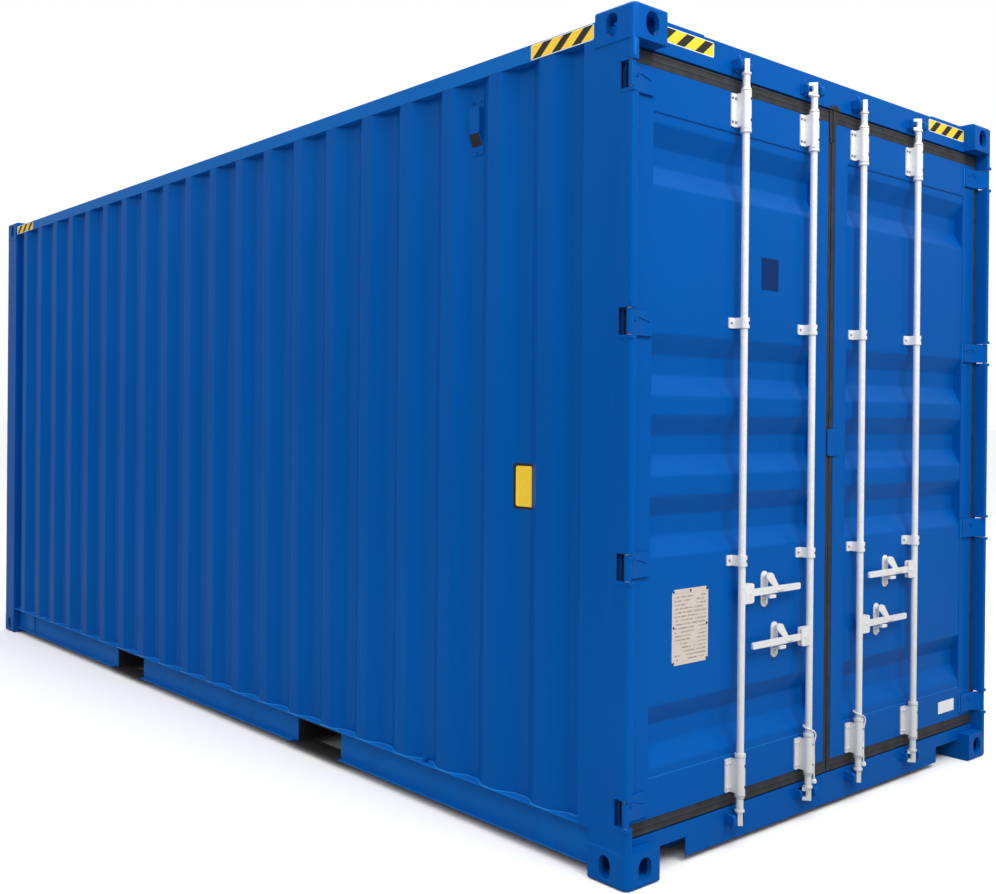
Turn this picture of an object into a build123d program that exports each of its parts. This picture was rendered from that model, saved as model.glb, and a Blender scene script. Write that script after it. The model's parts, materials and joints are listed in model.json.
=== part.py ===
# Twenty foot high cube dry container with a pair of cargo doors.
# Millimetres. +X points out of the door end, +Y across, +Z up.
# The origin is on the ground at the middle of the base.
import os
from math import pi, radians, tan

from build123d import *

os.makedirs("parts", exist_ok=True)

# Overall size
length = 6058.0
width = 2438.0
height = 2896.0
half_l = length / 2
half_w = width / 2

# Corner fittings
fit_l = 178.0
fit_w = 162.0
fit_h = 118.0
slot_l = 124.0
slot_w = 63.5
slot_from_end = 102.5
slot_from_side = 89.5
eye_tall = 79.5
side_eye_w = 51.0
end_eye_w = 63.5
eye_from_end = 101.5
eye_from_side = 89.0
fit_plate = 28.0
fit_outer_wall = 20.0
fit_inner_wall = 13.0
fit_corner = 26.0
fit_round = 13.0
fit_past = half_l - fit_l
fit_side = half_w - fit_w

# Rails along the sides
rail_z0 = 33.0
rail_h = 138.0
rail_top = rail_z0 + rail_h
rail_edge = half_w - 6.0
web_out = rail_edge - 48.0
rail_flange_low = web_out + 30.0
web_t = 4.5
inner_w = web_out - web_t
end_plate_len = 290.0
end_plate_t = 6.0
top_rail_h = 60.0
top_rail_w = 60.0
top_rail_t = 3.0
roof_drop = 28.0
roof_z = height - roof_drop
top_rail_z = roof_z - top_rail_h

# Posts, given by depth from the end plane and from the side plane
post_t = 6.0
post_skin = 3.0
post_deep = 231.0
post_round = 14.0
post_nose = 31.0
post_fold = 72.0
jamb_d0 = 118.0
jamb_t = 12.0
jamb_w = 49.0
front_post_face = 150.0
front_lip_deep = 62.0

# Corrugated side walls, from the front post to the door post
sheet_t = 2.0
wall_out = half_w - 7.0
wall_deep = 36.0
wall_low = wall_out - wall_deep
crest_w = 72.0
slope_w = 68.0
crest_count = 20
front_flat = 75.0
door_flat = 84.0
wall_x0 = -fit_past
wall_x1 = half_l - post_deep
crest_unit = crest_w + 2 * slope_w
crest_run = wall_x1 - wall_x0 - front_flat - door_flat
valley_w = (crest_run - crest_count * crest_unit) / (crest_count - 1)
crest_pitch = crest_unit + valley_w
first_crest = wall_x0 + front_flat + slope_w

# Door end frame
frame_face = 54.0
frame_deep = 96.0
frame_back = frame_face + frame_deep
stop_d0 = jamb_d0
frame_t = 5.0
header_z1 = height - 14.0
header_h = 107.0
header_z0 = header_z1 - header_h
header_stop = 18.0
header_stop_z = header_z0 - header_stop
sill_z0 = 22.0
sill_h = 119.0
sill_z1 = sill_z0 + sill_h
sill_notch_w = 197.0
sill_notch_z = 88.0

# Front end frame
front_face = 10.0
front_box = 64.0
front_sill_z0 = 18.0
front_sill_z1 = 150.0
front_header_z0 = height - fit_h
front_wall_deep = 45.6
front_crest = 110.0
front_slope = 18.0
front_valley = 104.0

# Floor and underframe
floor_t = 28.0
floor_top = rail_top
floor_low = floor_top - floor_t
beam_h = floor_low - rail_z0
beam_t = 4.0
beam_flange = 45.0
beam_end = 229.0
beam_gap = 14.0
beam_groups = (7, 6, 6)
pocket_mid = 61.0
pocket_span = 2058.0
pocket_w = 360.0
pocket_top = 150.0
pocket_t = 6.0
strap_t = 6.0
strap_lap = 50.0
strap_w = 105.0
flange_gap = 20.0

# Roof
roof_pad_h = 18.0
roof_slope = 13.0
roof_pads = 25
roof_half_l = half_l - 409.0
roof_half_w = rail_edge - 8.0
roof_pad_half = roof_half_w - 85.0
roof_pitch = 2 * (roof_half_l - 20.0) / roof_pads
roof_pad = roof_pitch / 2 - roof_slope
roof_plate_t = 4.0
guard_len = 270.0
guard_t = 10.0
guard_inset = 10.0

# Door leaves
leaf_face = frame_face + 2.0
leaf_t = 50.0
leaf_back = leaf_face + leaf_t
leaf_in = 25.0
leaf_out = half_w - 59.0
leaf_gap = 52.0
leaf_z0 = sill_z1 + leaf_gap
leaf_z1 = header_z0 - leaf_gap - 3.0
leaf_h = leaf_z1 - leaf_z0
leaf_w = leaf_out - leaf_in
stile_in_w = 87.0
stile_out_w = 102.0
stile_t = 3.2
leaf_top_rail = 0.0574 * leaf_h
leaf_low_rail = 0.0534 * leaf_h
rail_web = 4.0
panel_y0 = leaf_in + stile_in_w
panel_y1 = leaf_out - stile_out_w
panel_face = leaf_face + 2.0
panel_deep = 36.0
recess_slope = 0.0277 * leaf_h
recess_flat = 0.0269 * leaf_h
recess_at = (0.928, 0.6478, 0.5386, 0.4294, 0.1484)
seal_gap = 5.0
seal_d0 = panel_face
seal_d1 = seal_d0 + 14.0
seal_d2 = leaf_back + 4.0
seal_mid = 2.7
bulb_w = 15.0
lap_z = leaf_z0 + 0.499 * leaf_h
lap_h = 107.0
lap_reach = 20.0
lap_t = 6.0
lap_w = 82.0

# Hinges
pin_d = 19.0
pin_y = half_w - 13.0
pin_r = 8.0
run_fit = 0.08
knuckle_r = 12.0
knuckle_h = 84.0
lug_gap = 3.0
lug_t = 12.0
lug_skin = 1.5
hinge_end = 58.0
hinge_count = 4
slot_deep = 62.0
blade_t = 10.0
blade_face = leaf_face - blade_t
blade_reach = pin_y - leaf_out + 92.0

# Locking gear
bar_d = 22.0
bar_r = 13.5
bar_outer = leaf_in + 0.5066 * leaf_w
bar_inner = leaf_in + 0.1322 * leaf_w
bar_gap = bar_outer - bar_inner
bar_fit = 0.08
claw_h = 48.0
claw_low_z0 = sill_z1 - 60.0
claw_top_z0 = header_z0 + 14.0
claw_w = 18.0
claw_d0 = 10.0
claw_d1 = 44.0
claw_arm = 12.0
claw_turn = 40.0
claw_core_r = 9.0
neck_r = 15.0
ring_r = 17.5
ring_h = 7.0
collar_r = 20.0
collar_h = 11.0
collar_gap = 2.0
sleeve_r = 19.0
sleeve_extra = 8.0
bracket_h = 120.0
bracket_edge = 5.0
bracket_plate = 5.0
bracket_reach = bar_inner - panel_y0 - 17.0
bracket_arm = 8.0
guide_at = (0.3324, 0.6711)
guide_h = 38.0
hub_reach = 62.0
hub_h = 72.0
hub_plate = 5.5
hub_round = 10.0
rivet_at = 42.0
rivet_r = 6.0
rivet_head = 3.0
handle_t = 8.0
handle_gap = 0.5
handle_end = 66.0
handle_len = bar_gap - handle_end - rivet_at
handle_h = 26.0
handle_eye = 17.0
handle_tip = 24.0
hub_high = leaf_z0 + 0.2845 * leaf_h
hub_low = leaf_z0 + 0.207 * leaf_h
keep_at = 0.4235 * bar_gap
keep_w = 42.0
keep_h = 134.0
keep_t = 5.0
keep_boss = 48.0
keep_boss_r = 12.0
keep_boss_d = 45.0
keep_bolt_r = 9.0
seat_w = 36.0
seat_t = 12.0
flap_t = 7.0
flap_r = 15.0
flap_d = 33.0
flap_lean = 54.0
flap_flat = 30.0
keeper_plate = 4.0
keeper_half = 47.0
keeper_h = 42.0
lug_in = 30.0
lug_out = 42.0
lug_h = 36.0
lug_d0 = 24.0
lug_bevel = 9.0
tongue_d0 = 40.0
tongue_w = 20.0
tongue_h = 12.0

# Vents and the hooks that hold the doors open
vent_w = 68.0
vent_h = 207.0
vent_drop = 258.0
vent_t = 20.0
hook_w = 20.0
hook_t = 7.0
hook_h = 16.0
hook_out = 22.0
hook_lift = 6.0

# Ropes that tie an open door back
rope_r = 3.5
rope_loop = 21.2
rope_lie = 0.02
knot_r = 11.0
knot_h = 17.0
knot_lift = 10.0


def deep(d):
    # x of a point at depth d inside the door end plane
    return half_l - d


def block(x0, x1, y0, y1, z0, z1, mode=Mode.ADD):
    with Locations(((x0 + x1) / 2, (y0 + y1) / 2, (z0 + z1) / 2)):
        Box(abs(x1 - x0), abs(y1 - y0), abs(z1 - z0), mode=mode)


def rod(x, y, z0, z1, radius, mode=Mode.ADD):
    with Locations((x, y, (z0 + z1) / 2)):
        Cylinder(radius, abs(z1 - z0), mode=mode)


def cone(x, y, z0, z1, r0, r1):
    with Locations((x, y, (z0 + z1) / 2)):
        Cone(r0, r1, z1 - z0)


def cross_rod(d0, d1, y, z, radius):
    # a round piece that lies along X between two depths
    with Locations(Location((deep((d0 + d1) / 2), y, z), (0, 90, 0))):
        Cylinder(radius, abs(d1 - d0))


def save(part, label):
    part.label = label
    export_step(part, "parts/" + label + ".step")
    print(label, "solids", len(part.solids()), "volume", round(part.volume / 1e6, 3), "litres")


def gather(pieces):
    # several like pieces that don't touch, kept in one node
    with BuildPart() as group:
        for piece in pieces:
            add(piece)
    return group.part


def spread(low, high, count):
    return [low + (high - low) * k / (count - 1) for k in range(count)]


hinge_levels = spread(leaf_z0 + hinge_end, leaf_z1 - hinge_end, hinge_count)
pocket_centres = (pocket_mid - pocket_span / 2, pocket_mid + pocket_span / 2)
bar_spots = (-bar_outer, -bar_inner, bar_inner, bar_outer)
claw_levels = (claw_low_z0, claw_top_z0)
low_bracket = leaf_z0 + bracket_edge
top_bracket = leaf_z1 - bracket_edge - bracket_h


# Corner fittings: cast boxes with a slot and two upright eyes
def corner_fitting(end, side, top):
    cz = height - fit_h / 2 if top else fit_h / 2
    z_out = height if top else 0.0
    up = 1 if top else -1
    with BuildPart() as fitting:
        with Locations((end * (half_l - fit_l / 2), side * (half_w - fit_w / 2), cz)):
            Box(fit_l, fit_w, fit_h)
        upright = fitting.edges().filter_by(Axis.Z)
        upright = upright.sort_by(lambda e: end * e.center().X + side * e.center().Y)[-1]
        fillet(upright, fit_corner)
        rim = fitting.faces().filter_by(Axis.Z).sort_by(Axis.Z)[-1 if top else 0].edges()
        outer = rim.sort_by(lambda e: end * e.center().X + side * e.center().Y)[-3:]
        fillet(outer, fit_round)
        block(end * (half_l - fit_outer_wall), end * (fit_past + fit_inner_wall),
              side * (half_w - fit_outer_wall), side * (fit_side + fit_inner_wall),
              z_out - up * fit_plate, z_out - up * (fit_h - fit_inner_wall), Mode.SUBTRACT)
        with BuildSketch(Plane.XY.offset(z_out)):
            with Locations((end * (half_l - slot_from_end), side * (half_w - slot_from_side))):
                SlotOverall(slot_l, slot_w)
        extrude(amount=-up * (fit_plate + 1), mode=Mode.SUBTRACT)
        with BuildSketch(Plane.XZ.offset(-side * half_w)):
            with Locations((end * (half_l - eye_from_end), cz)):
                SlotOverall(eye_tall, side_eye_w, rotation=90)
        extrude(amount=side * (fit_outer_wall + 1), mode=Mode.SUBTRACT)
        with BuildSketch(Plane.YZ.offset(end * half_l)):
            with Locations((side * (half_w - eye_from_side), cz)):
                SlotOverall(eye_tall, end_eye_w, rotation=90)
        extrude(amount=-end * (fit_outer_wall + 1), mode=Mode.SUBTRACT)
    return fitting.part


corners = [(end, side) for end in (1, -1) for side in (1, -1)]
save(gather([corner_fitting(e, s, True) for e, s in corners]), "corner_fittings_top")
save(gather([corner_fitting(e, s, False) for e, s in corners]), "corner_fittings_bottom")


# Door end posts: a folded outer skin with an inner jamb, slotted for the hinges
def rear_post(side):
    def rect(d0, d1, t0, t1, mode=Mode.ADD):
        with Locations((deep((d0 + d1) / 2), side * (half_w - (t0 + t1) / 2))):
            Rectangle(d1 - d0, t1 - t0, mode=mode)

    with BuildPart() as post:
        with BuildSketch(Plane.XY.offset(fit_h)) as section:
            rect(post_skin, post_fold, post_skin, post_nose)
            corner = section.vertices().sort_by(lambda v: v.X + side * v.Y)[-1]
            fillet(corner, post_round)
            inner = section.vertices().sort_by(lambda v: v.X - side * v.Y)[-1]
            fillet(inner, post_t)
            rect(post_skin + post_t, post_fold + 1, post_skin + post_t, post_nose - post_t, Mode.SUBTRACT)
            rect(post_fold - 1, post_deep, post_skin, post_skin + post_t)
            rect(jamb_d0, post_deep, post_skin + post_t, jamb_w)
            rect(jamb_d0 + jamb_t, post_deep - jamb_t, post_skin + post_t, jamb_w - jamb_t, Mode.SUBTRACT)
        extrude(amount=top_rail_z - fit_h)
        y0 = side * (half_w + 1)
        y1 = side * (half_w - jamb_w - 1)
        block(deep(post_deep) - 1, fit_past, y0, y1, fit_h - 1, rail_top, Mode.SUBTRACT)
        block(fit_past, half_l + 1, y0, y1, height - fit_h, top_rail_z + 1, Mode.SUBTRACT)
        half = knuckle_h / 2 + lug_gap
        for level in hinge_levels:
            block(half_l + 1, deep(slot_deep), y0, side * (half_w - post_nose - 2),
                  level - half, level + half, Mode.SUBTRACT)
            for z0 in (level - half - lug_t, level + half):
                block(deep(lug_skin), deep(slot_deep), side * (half_w - lug_skin),
                      side * (half_w - post_nose + post_t), z0, z0 + lug_t)
            rod(deep(pin_d), side * pin_y, level - half - lug_t, level + half + lug_t, pin_r, Mode.SUBTRACT)
    return post.part


save(rear_post(-1), "rear_post_left")
save(rear_post(1), "rear_post_right")


def hinge_pin(side, level):
    half = knuckle_h / 2 + lug_gap + lug_t
    with BuildPart() as pin:
        rod(deep(pin_d), side * pin_y, level - half, level + half, pin_r)
    return pin.part


save(gather([hinge_pin(s, z) for s in (-1, 1) for z in hinge_levels]), "hinge_pins")


# Front posts: one folded section with a lip for each wall
def front_post(side):
    def rect(d0, d1, t0, t1):
        with Locations((-deep((d0 + d1) / 2), side * (half_w - (t0 + t1) / 2))):
            Rectangle(d1 - d0, t1 - t0)

    with BuildPart() as post:
        with BuildSketch(Plane.XY.offset(fit_h)) as section:
            rect(post_skin, fit_l, post_skin, post_skin + post_t)
            rect(post_skin, post_skin + post_t, post_skin, front_post_face)
            corner = section.vertices().sort_by(lambda v: -v.X + side * v.Y)[-1]
            fillet(corner, post_round)
            rect(fit_l - post_t, fit_l, post_skin, jamb_w)
            rect(post_skin, front_lip_deep, front_post_face - post_t, front_post_face)
        extrude(amount=height - 2 * fit_h)
    return post.part


save(gather([front_post(-1), front_post(1)]), "front_posts")


# Side rails
def top_rail(side):
    y0 = rail_edge
    y1 = rail_edge - top_rail_w
    with BuildPart() as rail:
        block(-fit_past, fit_past, side * y0, side * y1, top_rail_z, roof_z)
        block(-fit_past, fit_past, side * (y0 - top_rail_t), side * (y1 + top_rail_t),
              top_rail_z + top_rail_t, roof_z - top_rail_t, Mode.SUBTRACT)
    return rail.part


save(gather([top_rail(-1), top_rail(1)]), "top_side_rails")


def bottom_rail(side):
    with BuildPart() as rail:
        block(-fit_past, fit_past, side * web_out, side * inner_w, rail_z0, rail_top)
        block(-fit_past, fit_past, side * rail_edge, side * web_out, rail_top - web_t, rail_top)
        block(-fit_past, fit_past, side * rail_flange_low, side * web_out, rail_z0, rail_z0 + web_t)
        for end in (-1, 1):
            block(end * fit_past, end * (fit_past - end_plate_len), side * (web_out + end_plate_t),
                  side * web_out, rail_z0 + web_t, rail_top - web_t)
        half = pocket_w / 2
        for centre in pocket_centres:
            block(centre - half, centre + half, side * (web_out + 1), side * (inner_w - 1),
                  rail_z0 - 1, pocket_top, Mode.SUBTRACT)
            block(centre - half - flange_gap, centre + half + flange_gap, side * (rail_edge + 1),
                  side * web_out, rail_z0 - 1, rail_z0 + web_t, Mode.SUBTRACT)
    return rail.part


save(gather([bottom_rail(-1), bottom_rail(1)]), "bottom_side_rails")


# Corrugated walls: a bent sheet drawn in plan and raised
def sheet_line(points, dx, dy):
    back = [(x + dx, y + dy) for x, y in reversed(points)]
    return list(points) + back


def side_wall(side):
    points = [(wall_x0, side * wall_low)]
    for k in range(crest_count):
        left = first_crest + crest_pitch * k
        points += [(left - slope_w, side * wall_low), (left, side * wall_out),
                   (left + crest_w, side * wall_out), (left + crest_w + slope_w, side * wall_low)]
    points.append((wall_x1, side * wall_low))
    with BuildPart() as wall:
        with BuildSketch(Plane.XY.offset(rail_top)):
            with BuildLine():
                Polyline(*sheet_line(points, 0, -side * sheet_t), close=True)
            make_face()
        extrude(amount=top_rail_z - rail_top)
    return wall.part


save(side_wall(-1), "side_wall_left")
save(side_wall(1), "side_wall_right")


def front_wall():
    outer = -(half_l - front_face - 2)
    inner = outer + front_wall_deep
    edge = half_w - front_post_face
    pitch = front_crest + front_valley + 2 * front_slope
    count = int((2 * edge - front_crest) // pitch)
    points = [(outer, -edge)]
    for k in range(count):
        middle = pitch * (k - (count - 1) / 2)
        half = front_valley / 2
        points += [(outer, middle - half - front_slope), (inner, middle - half),
                   (inner, middle + half), (outer, middle + half + front_slope)]
    points.append((outer, edge))
    with BuildPart() as wall:
        with BuildSketch(Plane.XY.offset(front_sill_z1)):
            with BuildLine():
                Polyline(*sheet_line(points, sheet_t, 0), close=True)
            make_face()
        extrude(amount=front_header_z0 - front_sill_z1)
    return wall.part


save(front_wall(), "front_wall")


# Front end frame
def front_box_rail(z0, z1):
    x0 = -(half_l - front_face)
    with BuildPart() as rail:
        block(x0, x0 + front_box, -fit_side, fit_side, z0, z1)
        block(x0 + frame_t, x0 + front_box - frame_t, -fit_side, fit_side, z0 + frame_t, z1 - frame_t,
              Mode.SUBTRACT)
    return rail.part


save(front_box_rail(front_sill_z0, front_sill_z1), "front_sill")
save(front_box_rail(front_header_z0, roof_z), "front_header")


# Door end frame
def door_header():
    jamb_y = half_w - jamb_w
    with BuildPart() as header:
        block(deep(frame_face), deep(frame_back), -fit_side, fit_side, header_z0, header_z1)
        block(deep(frame_face + frame_t), deep(frame_back - frame_t), -fit_side, fit_side,
              header_z0 + frame_t, header_z1 - frame_t, Mode.SUBTRACT)
        block(deep(stop_d0), deep(frame_back), -jamb_y, jamb_y, header_stop_z, header_z0)
        for side in (-1, 1):
            block(deep(stop_d0), deep(frame_back), side * fit_side, side * jamb_y, header_z0, height - fit_h)
    return header.part


def door_sill():
    jamb_y = half_w - jamb_w
    fold_y = half_w - post_nose
    with BuildPart() as sill:
        block(deep(frame_face), deep(frame_back), -fit_side, fit_side, sill_z0, sill_z1)
        block(deep(stop_d0), deep(frame_back), -fit_side, fit_side, sill_z1, floor_top)
        block(deep(frame_face + frame_t), deep(frame_back - frame_t), -fit_side, fit_side, sill_z0 - 1,
              sill_z1 - frame_t, Mode.SUBTRACT)
        for side in (-1, 1):
            block(deep(frame_face), deep(frame_back), side * (fit_side + 1), side * (fit_side - sill_notch_w),
                  sill_z0 - 1, sill_notch_z, Mode.SUBTRACT)
            block(deep(frame_face), deep(stop_d0), side * fit_side, side * fold_y, fit_h, sill_z1)
            block(deep(stop_d0), deep(frame_back), side * fit_side, side * jamb_y, fit_h, floor_top)
    return sill.part


save(door_header(), "door_header")
save(door_sill(), "door_sill")


# Floor and underframe
def floor_boards():
    notch = half_w - front_post_face
    with BuildPart() as floor:
        block(-fit_past, deep(frame_back), -inner_w, inner_w, floor_low, floor_top)
        block(-(half_l - front_face - front_box), -fit_past, -notch, notch, floor_low, floor_top)
    return floor.part


save(floor_boards(), "floor")


def cross_member(edge):
    z0 = floor_low - beam_h
    with BuildPart() as beam:
        block(edge - beam_flange, edge, -inner_w, inner_w, z0, floor_low)
        block(edge - beam_flange - 1, edge - beam_t, -inner_w, inner_w, z0 + beam_t, floor_low - beam_t,
              Mode.SUBTRACT)
    return beam.part


pocket_half = pocket_w / 2 + pocket_t
beam_edges = spread(-half_l + beam_end + beam_flange,
                    pocket_centres[0] - pocket_half - beam_gap, beam_groups[0])
beam_edges += spread(pocket_centres[0] + pocket_half + beam_gap + beam_flange,
                     pocket_centres[1] - pocket_half - beam_gap, beam_groups[1])
beam_edges += spread(pocket_centres[1] + pocket_half + beam_gap + beam_flange,
                     half_l - beam_end, beam_groups[2])
save(gather([cross_member(e) for e in beam_edges]), "cross_members")


# Fork pockets: a roof plate, two side plates and a strap across each mouth
def plate(x0, x1, y0, y1, z0, z1):
    with BuildPart() as sheet:
        block(x0, x1, y0, y1, z0, z1)
    return sheet.part


roofs = []
cheeks = []
straps = []
for centre in pocket_centres:
    half = pocket_w / 2
    roofs.append(plate(centre - pocket_half, centre + pocket_half, -inner_w, inner_w,
                       floor_low - pocket_t, floor_low))
    for side in (-1, 1):
        cheeks.append(plate(centre + side * half, centre + side * pocket_half, -inner_w, inner_w,
                            rail_z0, floor_low - pocket_t))
        straps.append(plate(centre - half - strap_lap, centre + half + strap_lap, side * rail_flange_low,
                            side * (rail_flange_low - strap_w), rail_z0 - strap_t, rail_z0))
save(gather(roofs), "fork_pocket_roofs")
save(gather(cheeks), "fork_pocket_sides")
save(gather(straps), "fork_pocket_straps")


# Roof: a flat sheet with pressed pads, and a plate at each end
def roof_panel():
    spots = [(roof_pitch * (k - (roof_pads - 1) / 2), 0) for k in range(roof_pads)]
    foot = roof_pad + 2 * roof_slope
    with BuildPart() as roof:
        with BuildSketch(Plane.XY.offset(roof_z)):
            Rectangle(2 * roof_half_l, 2 * roof_half_w)
        extrude(amount=sheet_t)
        with BuildSketch(Plane.XY.offset(roof_z + sheet_t)):
            with Locations(*spots):
                Rectangle(foot, 2 * roof_pad_half)
        extrude(amount=roof_pad_h, taper=35)
        with BuildSketch(Plane.XY.offset(roof_z)):
            with Locations(*spots):
                Rectangle(foot - 2 * sheet_t, 2 * roof_pad_half - 2 * sheet_t)
        extrude(amount=roof_pad_h, taper=35, mode=Mode.SUBTRACT)
    return roof.part


save(roof_panel(), "roof_panel")


def roof_end_plate(end):
    tip = half_l - front_face if end < 0 else half_l - frame_back
    with BuildPart() as sheet:
        block(end * roof_half_l, end * fit_past, -roof_half_w, roof_half_w, roof_z, roof_z + roof_plate_t)
        block(end * fit_past, end * tip, -fit_side, fit_side, roof_z, roof_z + roof_plate_t)
    return sheet.part


save(gather([roof_end_plate(-1), roof_end_plate(1)]), "roof_end_plates")


# Guard plates that lie beside the top fittings
def roof_guard(end, side):
    seat = header_z1 if end > 0 else roof_z + roof_plate_t
    tip = frame_face + guard_inset if end > 0 else front_face + guard_inset
    with BuildPart() as guard:
        block(end * deep(tip), end * deep(frame_back), side * (fit_side - guard_len), side * fit_side,
              seat, seat + guard_t)
    return guard.part


save(gather([roof_guard(e, s) for e, s in corners]), "roof_guard_plates")


# Cam keepers: a base plate with a tongue and two lugs at each end of every lock bar
def cam_keeper(y, claw_z0):
    mid = claw_z0 + claw_h / 2
    face = frame_face - keeper_plate
    with BuildPart() as keeper:
        for side in (-1, 1):
            block(deep(lug_d0), deep(face), y + side * lug_in, y + side * lug_out,
                  mid - lug_h / 2, mid + lug_h / 2)
        tips = keeper.edges().filter_by(Axis.Y).sort_by(Axis.X)[-4:]
        chamfer(tips, lug_bevel)
        block(deep(face), deep(frame_face), y - keeper_half, y + keeper_half,
              mid - keeper_h / 2, mid + keeper_h / 2)
        block(deep(tongue_d0), deep(face), y - tongue_w / 2, y + tongue_w / 2,
              mid - tongue_h / 2, mid + tongue_h / 2)
    return keeper.part


save(gather([cam_keeper(y, z) for y in bar_spots for z in claw_levels]), "cam_keepers")


# A vent high in one valley of each side wall, and a hook at the foot of another
def valley_middle(k):
    return first_crest + crest_w + slope_w + valley_w / 2 + crest_pitch * k


def vent(side, k):
    x = valley_middle(k)
    half = vent_h / 2
    with BuildPart() as body:
        block(x - vent_w / 2, x + vent_w / 2, side * wall_low, side * (wall_low + vent_t),
              height - vent_drop - half, height - vent_drop + half)
        outer = body.faces().sort_by(Axis.Y)[-1 if side > 0 else 0]
        chamfer(outer.edges(), 6)
    return body.part


save(gather([vent(-1, crest_count - 3), vent(1, 1)]), "vents")


def door_hook(side):
    x = valley_middle(crest_count - 4)
    z0 = rail_top + hook_lift
    y0 = side * wall_low
    y1 = side * (wall_low + hook_out)
    with BuildPart() as hook:
        block(x - hook_w / 2, x + hook_w / 2, y0, y1, z0, z0 + hook_t)
        block(x - hook_w / 2, x + hook_w / 2, y1, side * (wall_low + hook_out - hook_t), z0, z0 + hook_h)
        chamfer(hook.edges().filter_by(Axis.Z).sort_by(lambda e: side * e.center().Y)[-2:], 3)
    return hook.part


save(gather([door_hook(-1), door_hook(1)]), "door_hooks")


# Door leaves
def door_frame(side):
    with BuildPart() as frame:
        for a, b in ((leaf_in, panel_y0), (panel_y1, leaf_out)):
            block(deep(leaf_face), deep(leaf_back), side * a, side * b, leaf_z0, leaf_z1)
            block(deep(leaf_face + stile_t), deep(leaf_back - stile_t), side * (a + stile_t),
                  side * (b - stile_t), leaf_z0, leaf_z1, Mode.SUBTRACT)
        for z0, z1 in ((leaf_z0, leaf_z0 + leaf_low_rail), (leaf_z1 - leaf_top_rail, leaf_z1)):
            block(deep(leaf_face), deep(leaf_back), side * panel_y0, side * panel_y1, z0, z1)
            block(deep(leaf_face + rail_web), deep(leaf_back + 1), side * panel_y0, side * panel_y1,
                  z0 + rail_web, z1 - rail_web, Mode.SUBTRACT)
    return frame.part


def door_panel(side):
    inside = panel_face + panel_deep
    points = [(deep(panel_face), leaf_z1 - leaf_top_rail)]
    for share in recess_at:
        top = leaf_z0 + share * leaf_h
        points += [(deep(panel_face), top), (deep(inside), top - recess_slope),
                   (deep(inside), top - recess_slope - recess_flat),
                   (deep(panel_face), top - 2 * recess_slope - recess_flat)]
    points.append((deep(panel_face), leaf_z0 + leaf_low_rail))
    start = panel_y0 if side < 0 else -panel_y1
    with BuildPart() as panel:
        with BuildSketch(Plane.XZ.offset(start)):
            with BuildLine():
                Polyline(*sheet_line(points, -sheet_t, 0), close=True)
            make_face()
        extrude(amount=panel_y1 - panel_y0)
    return panel.part


def door_seal(side):
    z0 = sill_z1 + seal_gap
    z1 = header_z0 - seal_gap
    y1 = half_w - post_nose - seal_gap
    with BuildPart() as seal:
        block(deep(seal_d0), deep(seal_d1), side * seal_mid, side * y1, z0, z1)
        block(deep(seal_d1), deep(seal_d2), side * (leaf_in - bulb_w), side * (leaf_out + bulb_w - 4),
              leaf_z0 - bulb_w, leaf_z1 + bulb_w)
        block(deep(seal_d0 - 1), deep(seal_d2 + 1), side * leaf_in, side * leaf_out, leaf_z0, leaf_z1,
              Mode.SUBTRACT)
        notch = lap_h / 2 + seal_gap
        if side < 0:
            block(deep(seal_d0), deep(seal_d1), side * seal_mid, side * leaf_in,
                  lap_z - notch, lap_z + notch, Mode.SUBTRACT)
        else:
            block(deep(seal_d0), deep(seal_d1), -lap_reach, seal_mid, lap_z - lap_h / 2, lap_z + lap_h / 2)
    return seal.part


def door_hinge(side, level):
    foot = pin_y - leaf_out
    crank = foot - 2
    front = pin_d - knuckle_r
    profile = [(0, front), (knuckle_r, front + 8), (crank - 10, blade_face - 6), (crank, blade_face),
               (blade_reach, blade_face), (blade_reach, leaf_face), (foot, leaf_face),
               (20, blade_face - 4), (0, pin_d + knuckle_r)]
    points = [(deep(d), side * (pin_y - s)) for s, d in profile]
    with BuildPart() as hinge:
        with BuildSketch(Plane.XY.offset(level - knuckle_h / 2)):
            with BuildLine():
                Polyline(*points, close=True)
            make_face()
            with Locations((deep(pin_d), side * pin_y)):
                Circle(knuckle_r)
                Circle(pin_r + run_fit, mode=Mode.SUBTRACT)
        extrude(amount=knuckle_h)
    return hinge.part


def lap_plate():
    with BuildPart() as sheet:
        block(deep(leaf_face - lap_t), deep(leaf_face), -lap_reach, lap_w - lap_reach,
              lap_z - lap_h / 2, lap_z + lap_h / 2)
        chamfer(sheet.edges().filter_by(Axis.X), 8)
    return sheet.part


# Brackets that carry the lock bars, fixed on the viewer's left of each bar
def bar_bracket(y, z0, z1, seat, extra):
    with BuildPart() as bracket:
        block(deep(seat - bracket_plate), deep(seat), y - bracket_reach, y - bracket_arm, z0, z1)
        corners_out = bracket.edges().filter_by(Axis.X).sort_by(Axis.Y)[:2]
        fillet(corners_out, bracket_plate)
        block(deep(bar_d), deep(seat), y - sleeve_r, y - bracket_arm, z0, z1)
        rod(deep(bar_d), y, z0 - extra, z1 + extra, sleeve_r)
        rod(deep(bar_d), y, z0 - extra, z1 + extra, bar_r + bar_fit, Mode.SUBTRACT)
    return bracket.part


def bar_brackets(bars):
    pieces = []
    for y in bars:
        for z0 in (low_bracket, top_bracket):
            pieces.append(bar_bracket(y, z0, z0 + bracket_h, leaf_face, sleeve_extra))
        for share in guide_at:
            z0 = leaf_z0 + share * leaf_h - guide_h / 2
            pieces.append(bar_bracket(y, z0, z0 + guide_h, panel_face, 0))
    return gather(pieces)


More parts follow.
